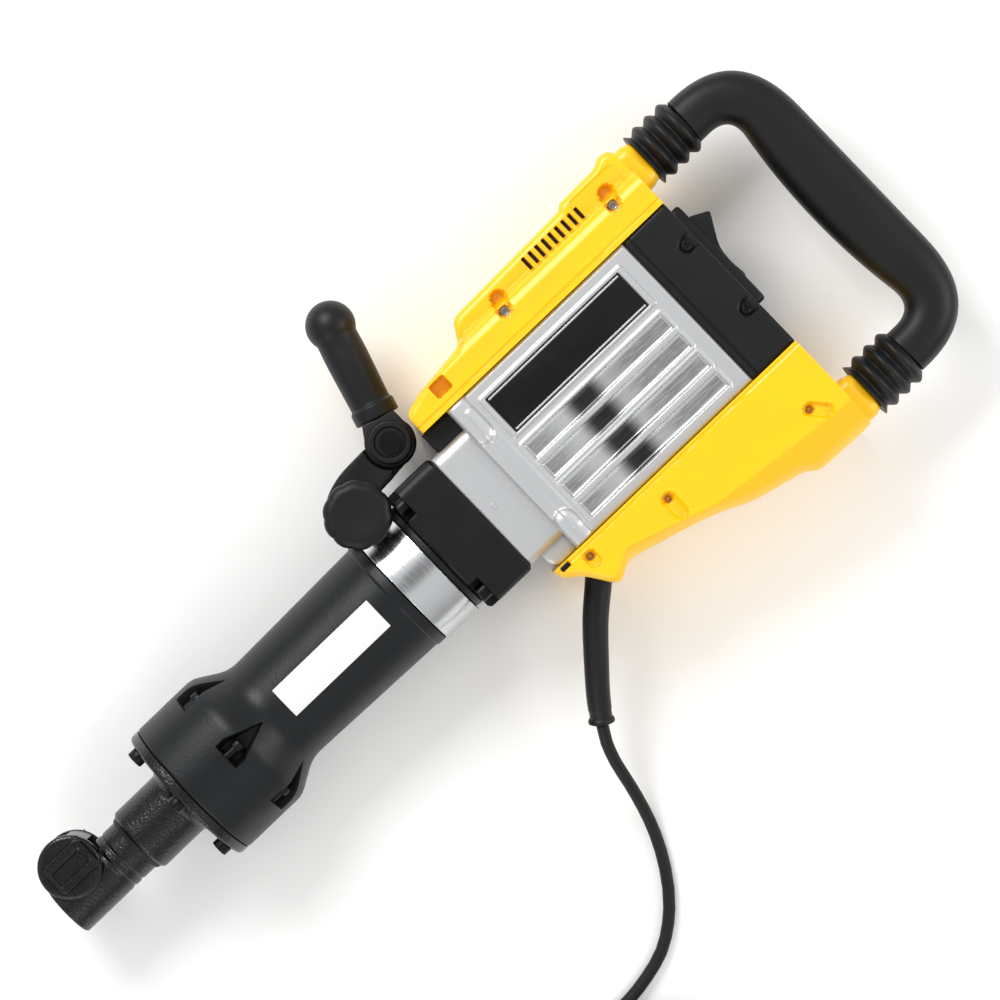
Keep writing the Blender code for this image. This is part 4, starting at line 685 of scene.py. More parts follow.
# ---- Motor housing: one bright casting with a badge frame and four long windows on each side. The
# windows' floor is the smooth outside of the motor's shell, hollowed towards the middle.
WINDOW_X, WINDOW_TOPS, WINDOW_H = (0.0749, 0.2080), (-0.0042, -0.0224, -0.0413, -0.0595), 0.0147
BADGE_X, BADGE_Y = (0.0735, 0.2114), (0.0014, 0.0406)
PLATE_X, PLATE_Y = (BADGE_X[0] + 0.0042, BADGE_X[1] - 0.0049), (BADGE_Y[0] + 0.0028, BADGE_Y[1] - 0.0035)
BOSS_X, BAR_X = (0.0525, 0.0693), (0.0607, 0.0707)
VALLEY_X, VALLEY_W, RIB_WALL = 0.1290, 0.0290, 0.0016
x_keys = [*WINDOW_X, *BADGE_X, *PLATE_X, HOUSING_FRONT + 0.002, BOSS_X[1], BAR_X[0], X_REAR - 0.0015]
y_keys = [key for top in WINDOW_TOPS for key in (top, top - WINDOW_H)] + [*BADGE_Y, *PLATE_Y]
house_x, house_y = np.meshgrid(lines(HOUSING_FRONT, X_REAR, 0.0020, x_keys, 0.0020, 0.0005),
                               lines(BODY_BOTTOM, BODY_TOP, 0.0014, y_keys, 0.0012, 0.0003), indexing="ij")
relief = 0.0012 * ease(inside_bar(house_x, house_y, BADGE_X, BADGE_Y, 0.0030) / 0.0016)
relief -= 0.0026 * ease(inside_bar(house_x, house_y, PLATE_X, PLATE_Y, 0.0015) / 0.0014)
# Windows: a low rim round each, a wall, and a floor that sinks in a bell curve about VALLEY_X.
valley = 0.0020 + 0.0048 * np.exp(-((house_x - VALLEY_X) / VALLEY_W) ** 2)
for top in WINDOW_TOPS:
    gap = inside_bar(house_x, house_y, WINDOW_X, (top - WINDOW_H, top), 0.0012)
    relief += 0.0006 * ease((gap + 0.0026) / RIB_WALL) - (valley + 0.0006) * ease(gap / RIB_WALL)
# Two quarter-round bosses at the front, and the flat bar that runs between them.
for boss_y in ((0.0126, 0.0600), (-0.0950, -0.0546)):
    into_boss = np.clip(inside_bar(house_x, house_y, BOSS_X, boss_y, 0.0083) / 0.0084, 0, 1)
    relief += 0.0036 * np.sqrt(1 - (1 - into_boss) ** 2)
relief += 0.0010 * ease(inside_bar(house_x, house_y, BAR_X, (-0.0720, 0.0400), 0.0030) / 0.0020)
to_rim = np.minimum(np.minimum(house_x - HOUSING_FRONT, X_REAR - house_x),
                    np.minimum(BODY_TOP - house_y, house_y - BODY_BOTTOM))
house_half = HOUSING_HALF_W + relief - drop(to_rim, 0.0028)
housing = two_faced("motor_housing_casting", house_x, house_y, AXIS_Z + house_half, AXIS_Z - house_half,
                    blasted_aluminium, "root", "cast_aluminium", "motor_housing", crease=180)
# Rolled steel of the motor's shell behind the windows: polished, with a dark reflection painted into its colour
# in a band about the valley's middle, so the middle of each window is dark between two bright streaks.
shell_steel = streaked("rolled_motor_shell", "#DCDDDD", 0.24, (90.0, 1500.0, 90.0), 0.00001)
shell_tree = shell_steel.node_tree
shell_colour = shell_tree.nodes["Principled BSDF"].inputs["Base Color"]
brushed_tone = shell_colour.links[0].from_socket
shell_place = add(shell_tree, "ShaderNodeTexCoord").outputs["Object"]
shell_x = add(shell_tree, "ShaderNodeSeparateXYZ", {"Vector": shell_place}).outputs["X"]
shell_off = add(shell_tree, "ShaderNodeMath", {0: shell_x, 1: VALLEY_X}, operation="SUBTRACT")
shell_away = add(shell_tree, "ShaderNodeMath", {0: shell_off.outputs[0]}, operation="ABSOLUTE")
# Painted dark reflection: the base colour falls to a near black within a band about VALLEY_X.
shell_painted_reflection_band = add(shell_tree, "ShaderNodeMapRange", {"Value": shell_away.outputs[0], "From Min": 0.006,
                                                    "From Max": 0.020, "To Min": 0.10, "To Max": 1.0},
                 interpolation_type="SMOOTHSTEP")
shell_tone_with_painted_reflection = add(shell_tree, "ShaderNodeMix", {"Factor": shell_painted_reflection_band.outputs["Result"]}, data_type="RGBA")
# The near black of the painted reflection band.
shell_tone_with_painted_reflection.inputs["A"].default_value = hex_colour("#1B1A19")
shell_tree.links.new(brushed_tone, shell_tone_with_painted_reflection.inputs["B"])
shell_tree.links.new(shell_tone_with_painted_reflection.outputs["Result"], shell_colour)
housing.data.materials.append(shell_steel)
# The faces of the window floors take the steel: well inside a window, and sunk below the casting.
faces_of_housing = housing.data.polygons
centres = np.empty(len(faces_of_housing) * 3)
faces_of_housing.foreach_get("center", centres)
centre_x, centre_y, centre_z = centres.reshape(-1, 3).T
in_window = np.max([inside_bar(centre_x, centre_y, WINDOW_X, (top - WINDOW_H, top), 0.0012)
                    for top in WINDOW_TOPS], axis=0) > 0.0014
sunk = np.abs(centre_z - AXIS_Z) < HOUSING_HALF_W - 0.0015
faces_of_housing.foreach_set("material_index", (in_window & sunk).astype(np.int32))
# Blank name plates: black enamelled sheet in the frame, with a pale bead along each long edge.
black_enamel = grained("black_enamelled_sheet", "#08090A", 0.30, 0.0012, 0.00003, second="#0D0E10", patch=0.02,
                       Specular_IOR_Level=0.3)
BEAD_X, BEAD_W = (0.0800, 0.2042), 0.0014
for side, name in SIDES:
    face = AXIS_Z + side * (HOUSING_HALF_W - 0.0014)
    plate(f"name_plate_{name}", rounded_box((0.0785, 0.2057), (0.0049, 0.0364), 0.0012), face - side * 0.0006,
          face + side * 0.0009, 0.0003, black_enamel, "root", "black_plastic")
    for row, y in (("upper", 0.0345), ("lower", 0.0068)):
        bead = rounded_box(BEAD_X, (y - BEAD_W / 2, y + BEAD_W / 2), 0.0003)
        plate(f"name_plate_bead_{name}_{row}", bead, face, face + side * 0.0013, 0.0003, blasted_aluminium,
              "root", "cast_aluminium")

# ---- Top cover: a moulded yellow shell over the crank gear. Its wide lower level steps down to a
# narrower deck with nine air slots, and it ends in the collar of the handle's upper arm.
COVER_FRONT, COVER_HALF_W, DECK_HALF_W = 0.0310, 0.0627, 0.0480
X_COLLAR, ARM_UPPER_Y, ARM_LOWER_Y, ARM_HALF = 0.2772, 0.0815, -0.1435, 0.0180
# Moulded ABS: saturated yellow with a fine spark-eroded texture, slightly uneven in gloss.
yellow_abs = grained("moulded_yellow_abs", "#FFC900", 0.36, 0.0010, 0.00006, second="#F9BF00", patch=0.03,
                     spread=0.05, Coat_Weight=0.15, Coat_Roughness=0.3)
top_edge = softened([
    (COVER_FRONT, 0.0640), (0.0335, 0.0668, 0.0030), (0.0480, 0.0712, 0.0060), (0.0905, 0.0760, 0.0030),
    (0.0965, 0.0850, 0.0030), (0.0994, 0.0905, 0.0030), (0.1043, 0.0931, 0.0040), (0.2067, 0.0959, 0.0020),
    (0.2100, 0.0995, 0.0020), (0.2440, 0.1001, 0.0040), (0.2520, 0.1045, 0.0030), (0.2590, 0.1030, 0.0030),
    (X_BACK, 0.0995)], steps=7)
TOP_SEAM, BULGE, HOLE_X, HOLE_Y = 0.0492, 0.0016, (0.0553, 0.0693), (0.0581, 0.0700)
SILL_HALF_W = COVER_HALF_W - BULGE
SLOT_FIRST, SLOT_PITCH, SLOT_W, SLOT_COUNT, SLOT_Y = 0.1652, 0.0063, 0.0032, 9, (0.0782, 0.0900)
slots = [(SLOT_FIRST + i * SLOT_PITCH - SLOT_W / 2, SLOT_FIRST + i * SLOT_PITCH + SLOT_W / 2)
         for i in range(SLOT_COUNT)]
top_x = lines(COVER_FRONT, X_BACK, 0.0016,
              [*np.ravel(slots), COVER_FRONT + 0.001, X_BACK - 0.001, *HOLE_X], 0.0009, 0.0003)
# Rows lie at fractions of the way from the seam to the outline, closer at the step and the rim.
fractions = np.unique(np.r_[np.linspace(0, 1, 90), 1 - np.geomspace(0.001, 0.12, 14),
                            np.linspace(0.44, 0.62, 40)])
cover_x, across = np.meshgrid(top_x, fractions, indexing="ij")
cover_top = np.interp(cover_x, *top_edge.T)
cover_y = TOP_SEAM + (cover_top - TOP_SEAM) * across
# Half width: the sill steps down to the deck, its rims are rounded, and it bulges a little along
# its middle. Then come the seam's groove, the square hole, the air slots and the deck's panel.
step_at = 0.0755 + 0.0015 * (cover_x - 0.09) / 0.17
on_deck = ease((cover_y - step_at) / 0.0045) * ease((cover_x - 0.0880) / 0.006)
half = SILL_HALF_W - (SILL_HALF_W - DECK_HALF_W) * on_deck
half -= drop(cover_top - cover_y, 0.0060) + drop(cover_x - COVER_FRONT, 0.0045)
half += (BULGE * ease((cover_y - 0.0590) / 0.010) * ease((0.0745 - cover_y) / 0.006)
         * ease((cover_x - 0.04) / 0.02))
half -= 0.0011 * (ease((cover_y - 0.0517) / 0.0006) - ease((cover_y - 0.0540) / 0.0006))
half -= 0.0130 * ease(inside_bar(cover_x, cover_y, HOLE_X, HOLE_Y, 0.0020) / 0.0008)
for slot_x in slots:
    half -= 0.0050 * ease(inside_bar(cover_x, cover_y, slot_x, SLOT_Y, 0.0010) / 0.0006)
half -= 0.0015 * ease(inside_bar(cover_x, cover_y, (0.2130, 0.2560), (0.0790, 0.0960), 0.0050) / 0.0020)


def well(x, y, centre, radius, lead, depth):
    """A round screw well with a channel of the same width that runs out of it along lead."""
    to_x, to_y = x - centre[0], y - centre[1]
    along = np.clip((to_x * lead[0] + to_y * lead[1]) / max(lead[0] ** 2 + lead[1] ** 2, 1e-9), 0.0, 1.0)
    gap = np.hypot(to_x - along * lead[0], to_y - along * lead[1])
    return depth * ease((radius - gap) / 0.0012)


COVER_WELLS = ((0.1310, 0.0715), (0.2360, 0.0725))
for spot in COVER_WELLS:
    half -= well(cover_x, cover_y, spot, 0.0058, (0.0030, 0.0100), 0.0090)
    half -= well(cover_x, cover_y, spot, 0.0040, (0.0, 0.0), 0.0070)
two_faced("top_cover_shell", cover_x, cover_y, AXIS_Z + half, AXIS_Z - half, yellow_abs, "root", "yellow_housing",
          "top_cover", crease=45)


def arm_collar(name, arm_y, reach):
    """A rounded square sleeve along the tool axis that carries one arm of the handle."""
    x, turn = np.meshgrid(lines(X_BACK - reach, X_COLLAR, 0.0020, (X_COLLAR - 0.001,)),
                          np.linspace(0, 2 * np.pi, 160, endpoint=False), indexing="ij")
    radius = square_ring(turn, ARM_HALF, 0.0085) - drop(X_COLLAR - x, 0.0035)
    radius -= 0.0012 * ease((x - X_BACK - 0.0100) / 0.0015)
    closed_tube(name, round_axis(x, turn, radius, arm_y), yellow_abs, "root", "yellow_housing")


def paired_screws(name, spots, head_from_axis, head_r, head_len, finish):
    """Cover screws on both sides, driven in along Z at each of the spots."""
    for number, (x, y) in enumerate(spots, 1):
        for side, end in SIDES:
            cap_screw(f"{name}_{end}_{number}", (x, y, AXIS_Z + side * head_from_axis), (0, 0, -side), head_r,
                      head_len, 0.0020, 0.0060, finish, "root", "steel")


arm_collar("upper_arm_collar", ARM_UPPER_Y, 0.0380)
paired_screws("top_cover_screw", COVER_WELLS, COVER_HALF_W - 0.0145, 0.0034, 0.0022, zinc_plate)
for side, end in SIDES:
    plate(f"air_screen_{end}", rounded_box((0.1610, 0.2190), (0.0775, 0.0905), 0.001),
          AXIS_Z + side * (DECK_HALF_W - 0.0040), AXIS_Z + side * (DECK_HALF_W - 0.0048), 0.0003, black_plastic,
          "root", "black_plastic")

# ---- Bottom cover: the deep yellow shell under the motor with the cord outlet at its front and
# the collar of the handle's lower arm at its back.
BASE_FRONT, BASE_SEAM = 0.0297, -0.0828
low_edge = softened([
    (BASE_FRONT, BASE_SEAM), (0.0308, -0.0896, 0.0040), (0.0434, -0.0994, 0.0060), (0.0553, -0.1176, 0.0040),
    (0.0602, -0.1204, 0.0040), (0.0728, -0.1127, 0.0080), (0.1148, -0.1239, 0.0120), (0.1428, -0.1330, 0.0100),
    (0.1638, -0.1435, 0.0080), (0.2058, -0.1540, 0.0080), (0.2128, -0.1608, 0.0060), (0.2560, -0.1622, 0.0040),
    (X_BACK, -0.1617)], steps=7)
low_x = lines(BASE_FRONT, X_BACK, 0.0015, (0.0308, X_BACK - 0.001, 0.2050, 0.2120), 0.0012, 0.0004)
low_fractions = np.unique(np.r_[np.linspace(0, 1, 110), 1 - np.geomspace(0.001, 0.10, 16),
                                np.geomspace(0.002, 0.06, 8)])
base_x, base_t = np.meshgrid(low_x, low_fractions, indexing="ij")
base_out = np.interp(base_x, *low_edge.T)
base_y = BASE_SEAM + (base_out - BASE_SEAM) * base_t
# Half width: rounded rims, a face that slopes in below the crease, the seam's groove, and the
# pocket of the latch.
base_half = COVER_HALF_W - drop(base_y - base_out, 0.0085) - drop(base_x - BASE_FRONT, 0.0050)
crease_y = np.interp(base_x, [0.0600, 0.0780, 0.1430, 0.2500], [-0.1204, -0.1050, -0.1265, -0.1386])
base_half -= 0.80 * np.clip(crease_y - base_y, 0.0, 0.0260) * ease((base_x - 0.0640) / 0.012)
base_half -= 0.0008 * (ease((base_y + 0.0868) / 0.0006) - ease((base_y + 0.0852) / 0.0006))
base_half -= 0.0035 * ease(inside_bar(base_x, base_y, (0.0340, 0.0430), (-0.0880, -0.0822), 0.0008) / 0.0006)
BASE_WELLS = ((0.1225, -0.1010), (0.2360, -0.1240), (0.0560, -0.0925))
for spot, lead in zip(BASE_WELLS, ((0.0, -0.0130), (0.0080, -0.0090), (0.0, -0.0040))):
    base_half -= well(base_x, base_y, spot, 0.0052, lead, 0.0040)
    base_half -= well(base_x, base_y, spot, 0.0036, (0.0, 0.0), 0.0070)
two_faced("bottom_cover_shell", base_x, base_y, AXIS_Z + base_half, AXIS_Z - base_half, yellow_abs, "root",
          "yellow_housing", "bottom_cover", crease=45)
arm_collar("lower_arm_collar", ARM_LOWER_Y, 0.0340)
for side, end in SIDES:
    plate(f"seam_latch_{end}", rounded_box((0.0345, 0.0425), (-0.0879, -0.0840), 0.0005), AXIS_Z + side * 0.0570,
          AXIS_Z + side * 0.0604, 0.0003, black_plastic, "root", "black_plastic")
paired_screws("bottom_cover_screw", BASE_WELLS, COVER_HALF_W - 0.0120, 0.0033, 0.0022, zinc_plate)

# ---- Rear housing: moulded black nylon behind the motor, held by two screws a side, with a raised
# bezel that carries the rocker switch.
REAR_HALF_W = 0.0600
rear_x, rear_y = np.meshgrid(
    lines(X_REAR, X_BACK, 0.0016, (X_REAR + 0.0008, X_BACK - 0.001, 0.2270, 0.2560), 0.0010, 0.0004),
    lines(BODY_BOTTOM, BODY_TOP, 0.0016, (BODY_TOP - 0.001, BODY_BOTTOM + 0.001), 0.001, 0.0004), indexing="ij")
rear_half = REAR_HALF_W - drop(np.minimum(rear_x - X_REAR, X_BACK - rear_x), 0.0035)
rear_half -= drop(np.minimum(BODY_TOP - rear_y, rear_y - BODY_BOTTOM), 0.0030)
rear_half -= 0.0008 * (ease((rear_x - 0.2262) / 0.0005) - ease((rear_x - 0.2276) / 0.0005))
REAR_SCREWS = ((0.2535, 0.0168), (0.2535, -0.0434))
for spot in REAR_SCREWS:
    rear_half -= well(rear_x, rear_y, spot, 0.0060, (0.0080, 0.0), 0.0030)
two_faced("rear_housing_shell", rear_x, rear_y, AXIS_Z + rear_half, AXIS_Z - rear_half, black_plastic, "root",
          "black_plastic", "rear_housing", crease=45)
paired_screws("rear_screw", REAR_SCREWS, REAR_HALF_W - 0.0032, 0.0040, 0.0025, black_oxide)

# ---- Switch: a bezel on the rear housing and a rocker with a thumb wedge, both moulded nylon.
ROCKER_Y, WELL_HALF_Y, WELL_HALF_Z, ROCKER_HALF_W = -0.0028, 0.0368, 0.0195, 0.0188
bezel_outer = rounded_box((0.0420, -0.0476), (0.0265, -0.0265), 0.004)
bezel_inner = rounded_box((ROCKER_Y + WELL_HALF_Y, ROCKER_Y - WELL_HALF_Y), (WELL_HALF_Z, -WELL_HALF_Z), 0.002)
bezel_rings = [(X_BACK, bezel_outer, 0.0), (X_BACK + 0.0068, bezel_outer, 0.0),
               (X_BACK + 0.0084, bezel_outer, 0.0009), (X_BACK + 0.0088, bezel_outer, 0.0026),
               (X_BACK + 0.0088, bezel_inner, -0.0010), (X_BACK + 0.0078, bezel_inner, 0.0),
               (X_BACK, bezel_inner, 0.0)]


def shrunk(outline, by):
    """An outline about its middle, each side moved in by the same distance."""
    middle = (outline.max(0) + outline.min(0)) / 2
    extent = (outline.max(0) - outline.min(0)) / 2
    return middle + (outline - middle) * (extent - by) / extent


bezel_points = np.stack([np.column_stack([np.full(len(ring), x), shrunk(ring, by) + (0.0, AXIS_Z)])
                         for x, ring, by in [*bezel_rings, bezel_rings[0]]])
settle("switch_bezel_moulding", bezel_points, lattice(*bezel_points.shape[:2], True), black_plastic, "root",
       "black_plastic", "switch_bezel")
rocker_outline = softened([(X_BACK + x, y, reach) for x, y, reach in (
    (0.0015, 0.0305, 0.001), (-0.0040, 0.0200, 0.004), (-0.0060, 0.0, 0.004), (-0.0040, -0.0200, 0.004),
    (0.0060, -0.0305, 0.001), (0.0105, -0.0259, 0.0025), (0.0090, -0.0105, 0.006), (0.0105, 0.0014, 0.006),
    (0.0231, 0.0238, 0.002), (0.0091, 0.0310, 0.003))], closed=True)
plate("rocker_moulding", rocker_outline, AXIS_Z - ROCKER_HALF_W, AXIS_Z + ROCKER_HALF_W, 0.0006, black_plastic,
      "rocker", "black_plastic", "rocker_switch")
coat(black_plastic, "switch_body", "control_module")

# ---- Rear handle: a D of rubber-covered bar. Its two arms run into the covers through bellows, so
# it gives a few millimetres and keeps the shake from the hands.
soft_rubber = grained("overmoulded_soft_rubber", "#0B0C0E", 0.44, 0.0010, 0.00010, second="#101113", patch=0.03,
                      spread=0.07, Specular_IOR_Level=0.32)
X_ARM, X_GRIP, HANDLE_HALF_Z, HANDLE_RINGS, OUTER_BEND = 0.3155, 0.3829, 0.0185, 220, 0.0660
X_ARM_IN, X_INNER_BEND, X_PALM = X_ARM - 0.0010, 0.3440, 0.3353
ARM_OUT_UPPER, ARM_OUT_LOWER = ARM_UPPER_Y + ARM_HALF, ARM_LOWER_Y - ARM_HALF
ARM_IN_UPPER, ARM_IN_LOWER = ARM_UPPER_Y - ARM_HALF, ARM_LOWER_Y + ARM_HALF


def run_of(line):
    """The distance along a line to each of its points."""
    return np.r_[0.0, np.cumsum(np.linalg.norm(np.diff(line, axis=0), axis=1))]


def points_at(line, run, at):
    """The points of a line at given distances along it."""
    return np.column_stack([np.interp(at, run, line[:, i]) for i in range(line.shape[1])])


def handle_edge(corners, bends):
    """One edge of the bar: a softened line with the bends at a fifth and four fifths of its points."""
    line = softened(corners, steps=24, share=0.9)
    run = run_of(line)
    marks = [run[np.argmin(np.linalg.norm(line - np.array(bend), axis=1))] for bend in bends]
    return points_at(line, run, np.interp(np.linspace(0, 1, HANDLE_RINGS), [0.0, 0.2, 0.8, 1.0],
                                          [0.0, *marks, run[-1]]))


outer_edge = handle_edge([(X_ARM_IN, ARM_OUT_UPPER), (X_GRIP, ARM_OUT_UPPER, OUTER_BEND),
                          (X_GRIP, ARM_OUT_LOWER, OUTER_BEND), (X_ARM_IN, ARM_OUT_LOWER)],
                         [(X_GRIP, ARM_OUT_UPPER), (X_GRIP, ARM_OUT_LOWER)])
inner_edge = handle_edge([(X_ARM_IN, ARM_IN_UPPER), (X_INNER_BEND, ARM_IN_UPPER, 0.0200),
                          (X_PALM, 0.0050, 0.0350), (X_PALM, -0.0670, 0.0350),
                          (X_INNER_BEND, ARM_IN_LOWER, 0.0200), (X_ARM_IN, ARM_IN_LOWER)],
                         [(X_INNER_BEND, ARM_IN_UPPER), (X_INNER_BEND, ARM_IN_LOWER)])
# The bar's section is a superellipse between the two edges: cosine and sine to the power 2 / 2.5.
SECTION_POWER = 2 / 2.5
share_along = np.linspace(0, 1, HANDLE_RINGS)
to_end = np.minimum(share_along, 1 - share_along)
around = np.linspace(0, 2 * np.pi, 64, endpoint=False)
wide = np.sign(np.cos(around)) * np.abs(np.cos(around)) ** SECTION_POWER
tall = np.sign(np.sin(around)) * np.abs(np.sin(around)) ** SECTION_POWER
end_rim = np.sqrt(np.clip(1 - (1 - np.clip(to_end / 0.010, 0, 1)) ** 2, 0.55, 1))
middle, reach_out = (outer_edge + inner_edge) / 2, (outer_edge - inner_edge) / 2
width = wide[None] * end_rim[:, None]
handle_points = np.stack([middle[:, :1] + reach_out[:, :1] * width, middle[:, 1:] + reach_out[:, 1:] * width,
                          AXIS_Z + HANDLE_HALF_Z * end_rim[:, None] * tall[None]], -1)
closed_tube("rear_handle_bar", handle_points, soft_rubber, "rear_handle", "rubber", "rear_handle")

# ---- Bellows: moulded rubber with three thick folds each, between the covers and the handle's
# arms. They squeeze up as the handle slides.
FOLDS, FOLD_DEPTH, BELLOWS_BORE, SEAT_GAP = 3.35, 0.0040, 0.0156, 0.0001
BELLOWS_LEN = X_ARM - X_COLLAR - 2 * SEAT_GAP
fold = np.linspace(0, 1, 97)
ridges = FOLD_DEPTH * np.abs(np.cos(np.pi * (fold * FOLDS + 0.10))) ** 1.4
for name, arm_y, size in (("upper", ARM_UPPER_Y, 0.0222), ("lower", ARM_LOWER_Y, 0.0228)):
    line = np.vstack([[SEAT_GAP, BELLOWS_BORE],
                      np.column_stack([SEAT_GAP + fold * BELLOWS_LEN, size - FOLD_DEPTH + ridges]),
                      [SEAT_GAP + BELLOWS_LEN, BELLOWS_BORE]])
    bellows = lathe(f"bellows_sleeve_{name}", line, (X_COLLAR, arm_y, AXIS_Z), ALONG, soft_rubber, None, "rubber",
                    f"bellows_{name}", steps=72, loop=True, crease=60)
    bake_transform(bellows)
coat(zinc_plate, "slide_rod_upper", "slide_rod_lower")

# ---- Side handle: a nylon bracket on the clamp, a lobed knob that tightens the clamp bolt, and a
# rubber grip hinged on a bolt.
KNOB_X, KNOB_Y, KNOB_R, KNOB_LOW, KNOB_T = -0.0410, 0.0399, 0.0245, 0.0363, 0.0180
KNUCKLE, KNUCKLE_R, BRACKET_HALF, TONGUE_HALF = np.array((0.0100, 0.0618)), 0.0182, 0.0140, 0.0060
BRACKET_LOW = AXIS_Y + BAND_R + 0.0014
knuckle_arc = arc(KNUCKLE, KNUCKLE_R, np.radians(np.linspace(-100, 150, 40)))
bracket_line = np.concatenate([
    softened([(KNOB_X - 0.0200, BRACKET_LOW + 0.001), (KNOB_X - 0.0205, BRACKET_LOW, 0.001),
              (KNOB_X + 0.0201, BRACKET_LOW, 0.001), (KNOB_X + 0.0201, 0.0418, 0.003),
              (KNOB_X + 0.0336, 0.0424, 0.004), knuckle_arc[0]]),
    knuckle_arc[1:-1],
    softened([knuckle_arc[-1], (KNOB_X + 0.0090, 0.0700, 0.008), (KNOB_X - 0.0085, 0.0648, 0.008),
              (KNOB_X - 0.0200, 0.0530, 0.006), (KNOB_X - 0.0203, BRACKET_LOW + 0.002)])])
# The cheeks have the bracket's outline with a round hollow cut for the fork of the grip.
from_knuckle = np.linalg.norm(bracket_line - KNUCKLE, axis=1)
by_arm = (bracket_line[:, 0] > -0.0040) & (bracket_line[:, 1] < 0.0500)
cheek = bracket_line[(from_knuckle > KNUCKLE_R + 0.0010) & ~by_arm]
hollow = arc(KNUCKLE, KNUCKLE_R + 0.0012, np.radians(np.linspace(232, 152, 24)))
first = np.argmax(cheek[:, 0])
cheek = np.concatenate([cheek[:first + 1], hollow, cheek[first + 1:]])
for side, name in SIDES:
    plate(f"bracket_cheek_{name}", cheek, AXIS_Z + side * (TONGUE_HALF - 0.0003), AXIS_Z + side * BRACKET_HALF,
          0.0012, black_plastic, "side_clamp", "black_plastic")
plate("bracket_tongue", bracket_line, AXIS_Z - TONGUE_HALF, AXIS_Z + TONGUE_HALF, 0.0006, black_plastic,
      "side_clamp", "black_plastic", "handle_bracket")
BOSS_BORE, BOSS_R, BOSS_LEN = 0.0042, 0.0098, 0.0261
boss_line = softened([(0.0, BOSS_BORE), (0.0, 0.0120, 0.001), (0.0060, BOSS_R, 0.003), (BOSS_LEN, BOSS_R),
                      (BOSS_LEN, BOSS_BORE)])
lathe("knob_boss", boss_line, (KNOB_X, KNOB_Y, AXIS_Z + 0.0100), UPWARD, black_plastic, "side_clamp",
      "black_plastic", loop=True)
knob_line = softened([
    (0.0, 0.0), (0.0, 0.0190, 0.0010), (0.0025, KNOB_R, 0.0020), (KNOB_T - 0.0035, KNOB_R, 0.0035),
    (KNOB_T, KNOB_R - 0.0050, 0.0030), (KNOB_T - 0.0006, 0.0100, 0.0030), (KNOB_T - 0.0014, 0.0)], steps=7)


def lobed(along, angle, radius):
    """Ten lobes: grooves that deepen with the cube of the radius, to 4.5% at the rim."""
    groove = 1 - np.abs(np.cos(angle * 5)) ** 0.7
    return radius * (1 - 0.045 * (radius / KNOB_R) ** 3 * groove)


lathe("clamp_knob_moulding", knob_line, (KNOB_X, KNOB_Y, AXIS_Z + KNOB_LOW), UPWARD, black_plastic, "clamp_knob",
      "black_plastic", "clamp_knob", steps=160, shape=lobed)
coat(black_oxide, "clamp_bolt", "grip_pivot")
GRIP_LEN, BALL_R, LEAN = 0.0928, 0.0180, math.radians(16.6)
COLLAR_AT, FORK_LEN, FORK_HALF_W, FORK_T = 0.0194, 0.0200, 0.0122, 0.0084
up_grip = np.array((math.sin(LEAN), math.cos(LEAN)))
across_grip = np.array((math.cos(LEAN), -math.sin(LEAN)))
grip_line = np.concatenate([
    [(COLLAR_AT, 0.0)],
    softened([(COLLAR_AT, 0.0100), (COLLAR_AT, 0.0165, 0.0015), (0.0290, 0.0164, 0.0010),
              (0.0305, 0.0148, 0.0010), (0.0340, 0.0148, 0.0010), (GRIP_LEN - 0.0240, 0.0156, 0.0100),
              (GRIP_LEN - 0.0100, 0.0152)]),
    arc((GRIP_LEN, 0.0), BALL_R, np.radians(np.linspace(118, 0, 26)))])
lathe("side_grip_sleeve", grip_line, (*KNUCKLE, AXIS_Z), (*up_grip, 0.0), soft_rubber, "side_grip", "rubber",
      "side_grip", steps=72)
fork_line = np.concatenate([
    arc(KNUCKLE, KNUCKLE_R, np.radians(np.linspace(148, 392, 60)) - LEAN),
    [KNUCKLE + FORK_LEN * up_grip + FORK_HALF_W * across_grip,
     KNUCKLE + FORK_LEN * up_grip - FORK_HALF_W * across_grip]])
bead_line = softened([(0.0, 0.0104), (0.0, 0.0160), (0.0016, 0.0150, 0.0008), (0.0016, 0.0112, 0.0006),
                      (0.0, 0.0104)])
for side, name in SIDES:
    fork_face = AXIS_Z + side * (TONGUE_HALF + 0.0001)
    plate(f"grip_fork_{name}", fork_line, fork_face, fork_face + side * FORK_T, 0.0022, soft_rubber, "side_grip",
          "rubber")
    lathe(f"grip_fork_ring_{name}", bead_line, (*KNUCKLE, fork_face + side * (FORK_T - 0.0002)), (0, 0, side),
          soft_rubber, "side_grip", "rubber", loop=True)

# ---- Strain relief: a ribless tapered rubber boot with a flared lip, pushed into the bottom cover.
boot_knots = [(0.0557, -0.1039, 0.0632), (0.0468, -0.1119, 0.0627), (0.0273, -0.1295, 0.0615),
              (0.0063, -0.1526, 0.0575), (-0.0080, -0.1695, 0.0525), (-0.0196, -0.1855, 0.0465)]
BOOT_RINGS, BOOT_R, BOOT_TAPER, LIP_HEIGHT, BOOT_MOUTH_R = 90, 0.0098, 0.0014, 0.0016, 0.0062
boot_path = np.array([tuple(point) for point in smooth_path(boot_knots, 0.002)])
boot_run = run_of(boot_path)
boot_spine = points_at(boot_path, boot_run, np.linspace(0, boot_run[-1], BOOT_RINGS))
boot_t = np.linspace(0, 1, BOOT_RINGS)
boot_r = BOOT_R - BOOT_TAPER * boot_t + LIP_HEIGHT * ease((boot_t - 0.955) / 0.02)
boot_r -= 0.0004 * ease((boot_t - 0.90) / 0.02)
boot_r = np.where(boot_t > 0.995, BOOT_MOUTH_R, boot_r)
boot_along = np.gradient(boot_spine, axis=0)
boot_along /= np.linalg.norm(boot_along, axis=1)[:, None]
boot_side = np.cross(boot_along, UPWARD)
boot_side /= np.linalg.norm(boot_side, axis=1)[:, None]
boot_up = np.cross(boot_side, boot_along)
boot_around = np.linspace(0, 2 * np.pi, 48, endpoint=False)[None, :, None]
boot_out = boot_side[:, None] * np.cos(boot_around) + boot_up[:, None] * np.sin(boot_around)
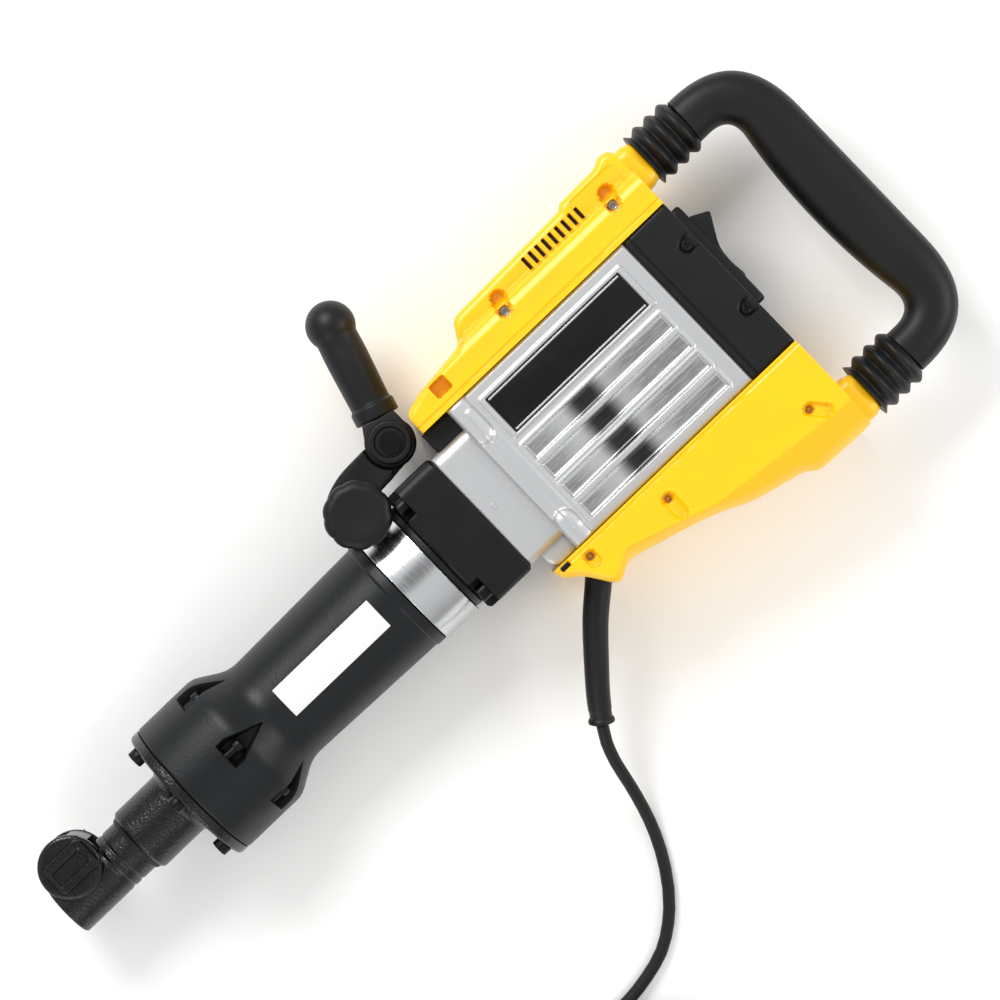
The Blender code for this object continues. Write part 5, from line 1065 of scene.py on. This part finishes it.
closed_tube("cord_boot_sleeve", boot_spine[:, None] + boot_r[:, None, None] * boot_out, soft_rubber, "root",
            "rubber", "cord_boot")

# ---- Plug and coil tie: a moulded two-pin plug and a rubber strap round the coil's turns.
coat(cable_rubber, "plug_body")
coat(zinc_plate, "plug_contacts")
TIE_HALF_W, TIE_HEIGHT, TIE_HALF_H, TIE_BREADTH, TIE_T = 0.0198, 0.0205, 0.0103, 0.0160, 0.0014
tie_turn = math.radians(150)
tie_way = np.array((math.cos(tie_turn), math.sin(tie_turn), 0.0))
tie_side = np.array((-tie_way[1], tie_way[0], 0.0))
tie_centre = np.array(COIL_CENTRE) + COIL_MID_R * tie_way
tie_loop = rounded_box((-TIE_HALF_W, TIE_HALF_W), (0.0, TIE_HEIGHT), 0.004, steps=7)
tie_middle = tie_loop.mean(0)


def tie_ring(across, skin):
    """The strap's loop at a place across its breadth, shrunk about its middle to leave this skin."""
    drawn_in = 1 - (TIE_T - skin) / np.array((TIE_HALF_W, TIE_HALF_H))
    out, up = (tie_middle + (tie_loop - tie_middle) * drawn_in).T
    return (tie_centre + across * tie_side + out[:, None] * tie_way
            + np.maximum(0.0002, up)[:, None] * np.array(UPWARD))


tie_rings = [tie_ring(across, skin) for across, skin in (
    (-TIE_BREADTH / 2, 0.0), (-TIE_BREADTH / 2, TIE_T), (TIE_BREADTH / 2, TIE_T), (TIE_BREADTH / 2, 0.0),
    (-TIE_BREADTH / 2, 0.0))]
settle("coil_tie", np.stack(tie_rings), lattice(len(tie_rings), len(tie_loop), True), soft_rubber, "root",
       "rubber")

# ---- Works inside: ground steel for the cylinder, piston, striker and shafts, oiled gear steel,
# lacquered copper windings, and a cast plate. They show only where a joint or a mouth opens.
ground_steel = streaked("ground_bearing_steel", "#B9BCC0", 0.22, (80.0, 80.0, 900.0), 0.00001)
oiled_gear_steel = grained("oiled_gear_steel", "#8D9094", 0.30, 0.0015, 0.00003, metallic=1.0, second="#73777B",
                           patch=0.006)
lacquered_copper = grained("lacquered_copper", "#B4643A", 0.30, 0.0012, 0.00010, metallic=0.9, second="#8E4B2B",
                           patch=0.004)
coat(ground_steel, "beat_piece", "beat_piece_guide", "cylinder_sleeve", "striker", "piston", "wrist_pin",
     "motor_bearing", "crank_bearing")
coat(oiled_gear_steel, "connecting_rod", "crank_gear", "intermediate_gear", "stator")
coat(lacquered_copper, "armature", "brush_holder_front", "brush_holder_rear")
coat(blasted_aluminium, "gear_plate")
coat(black_plastic, "cooling_fan")
coat(cable_rubber, "striker_ring")
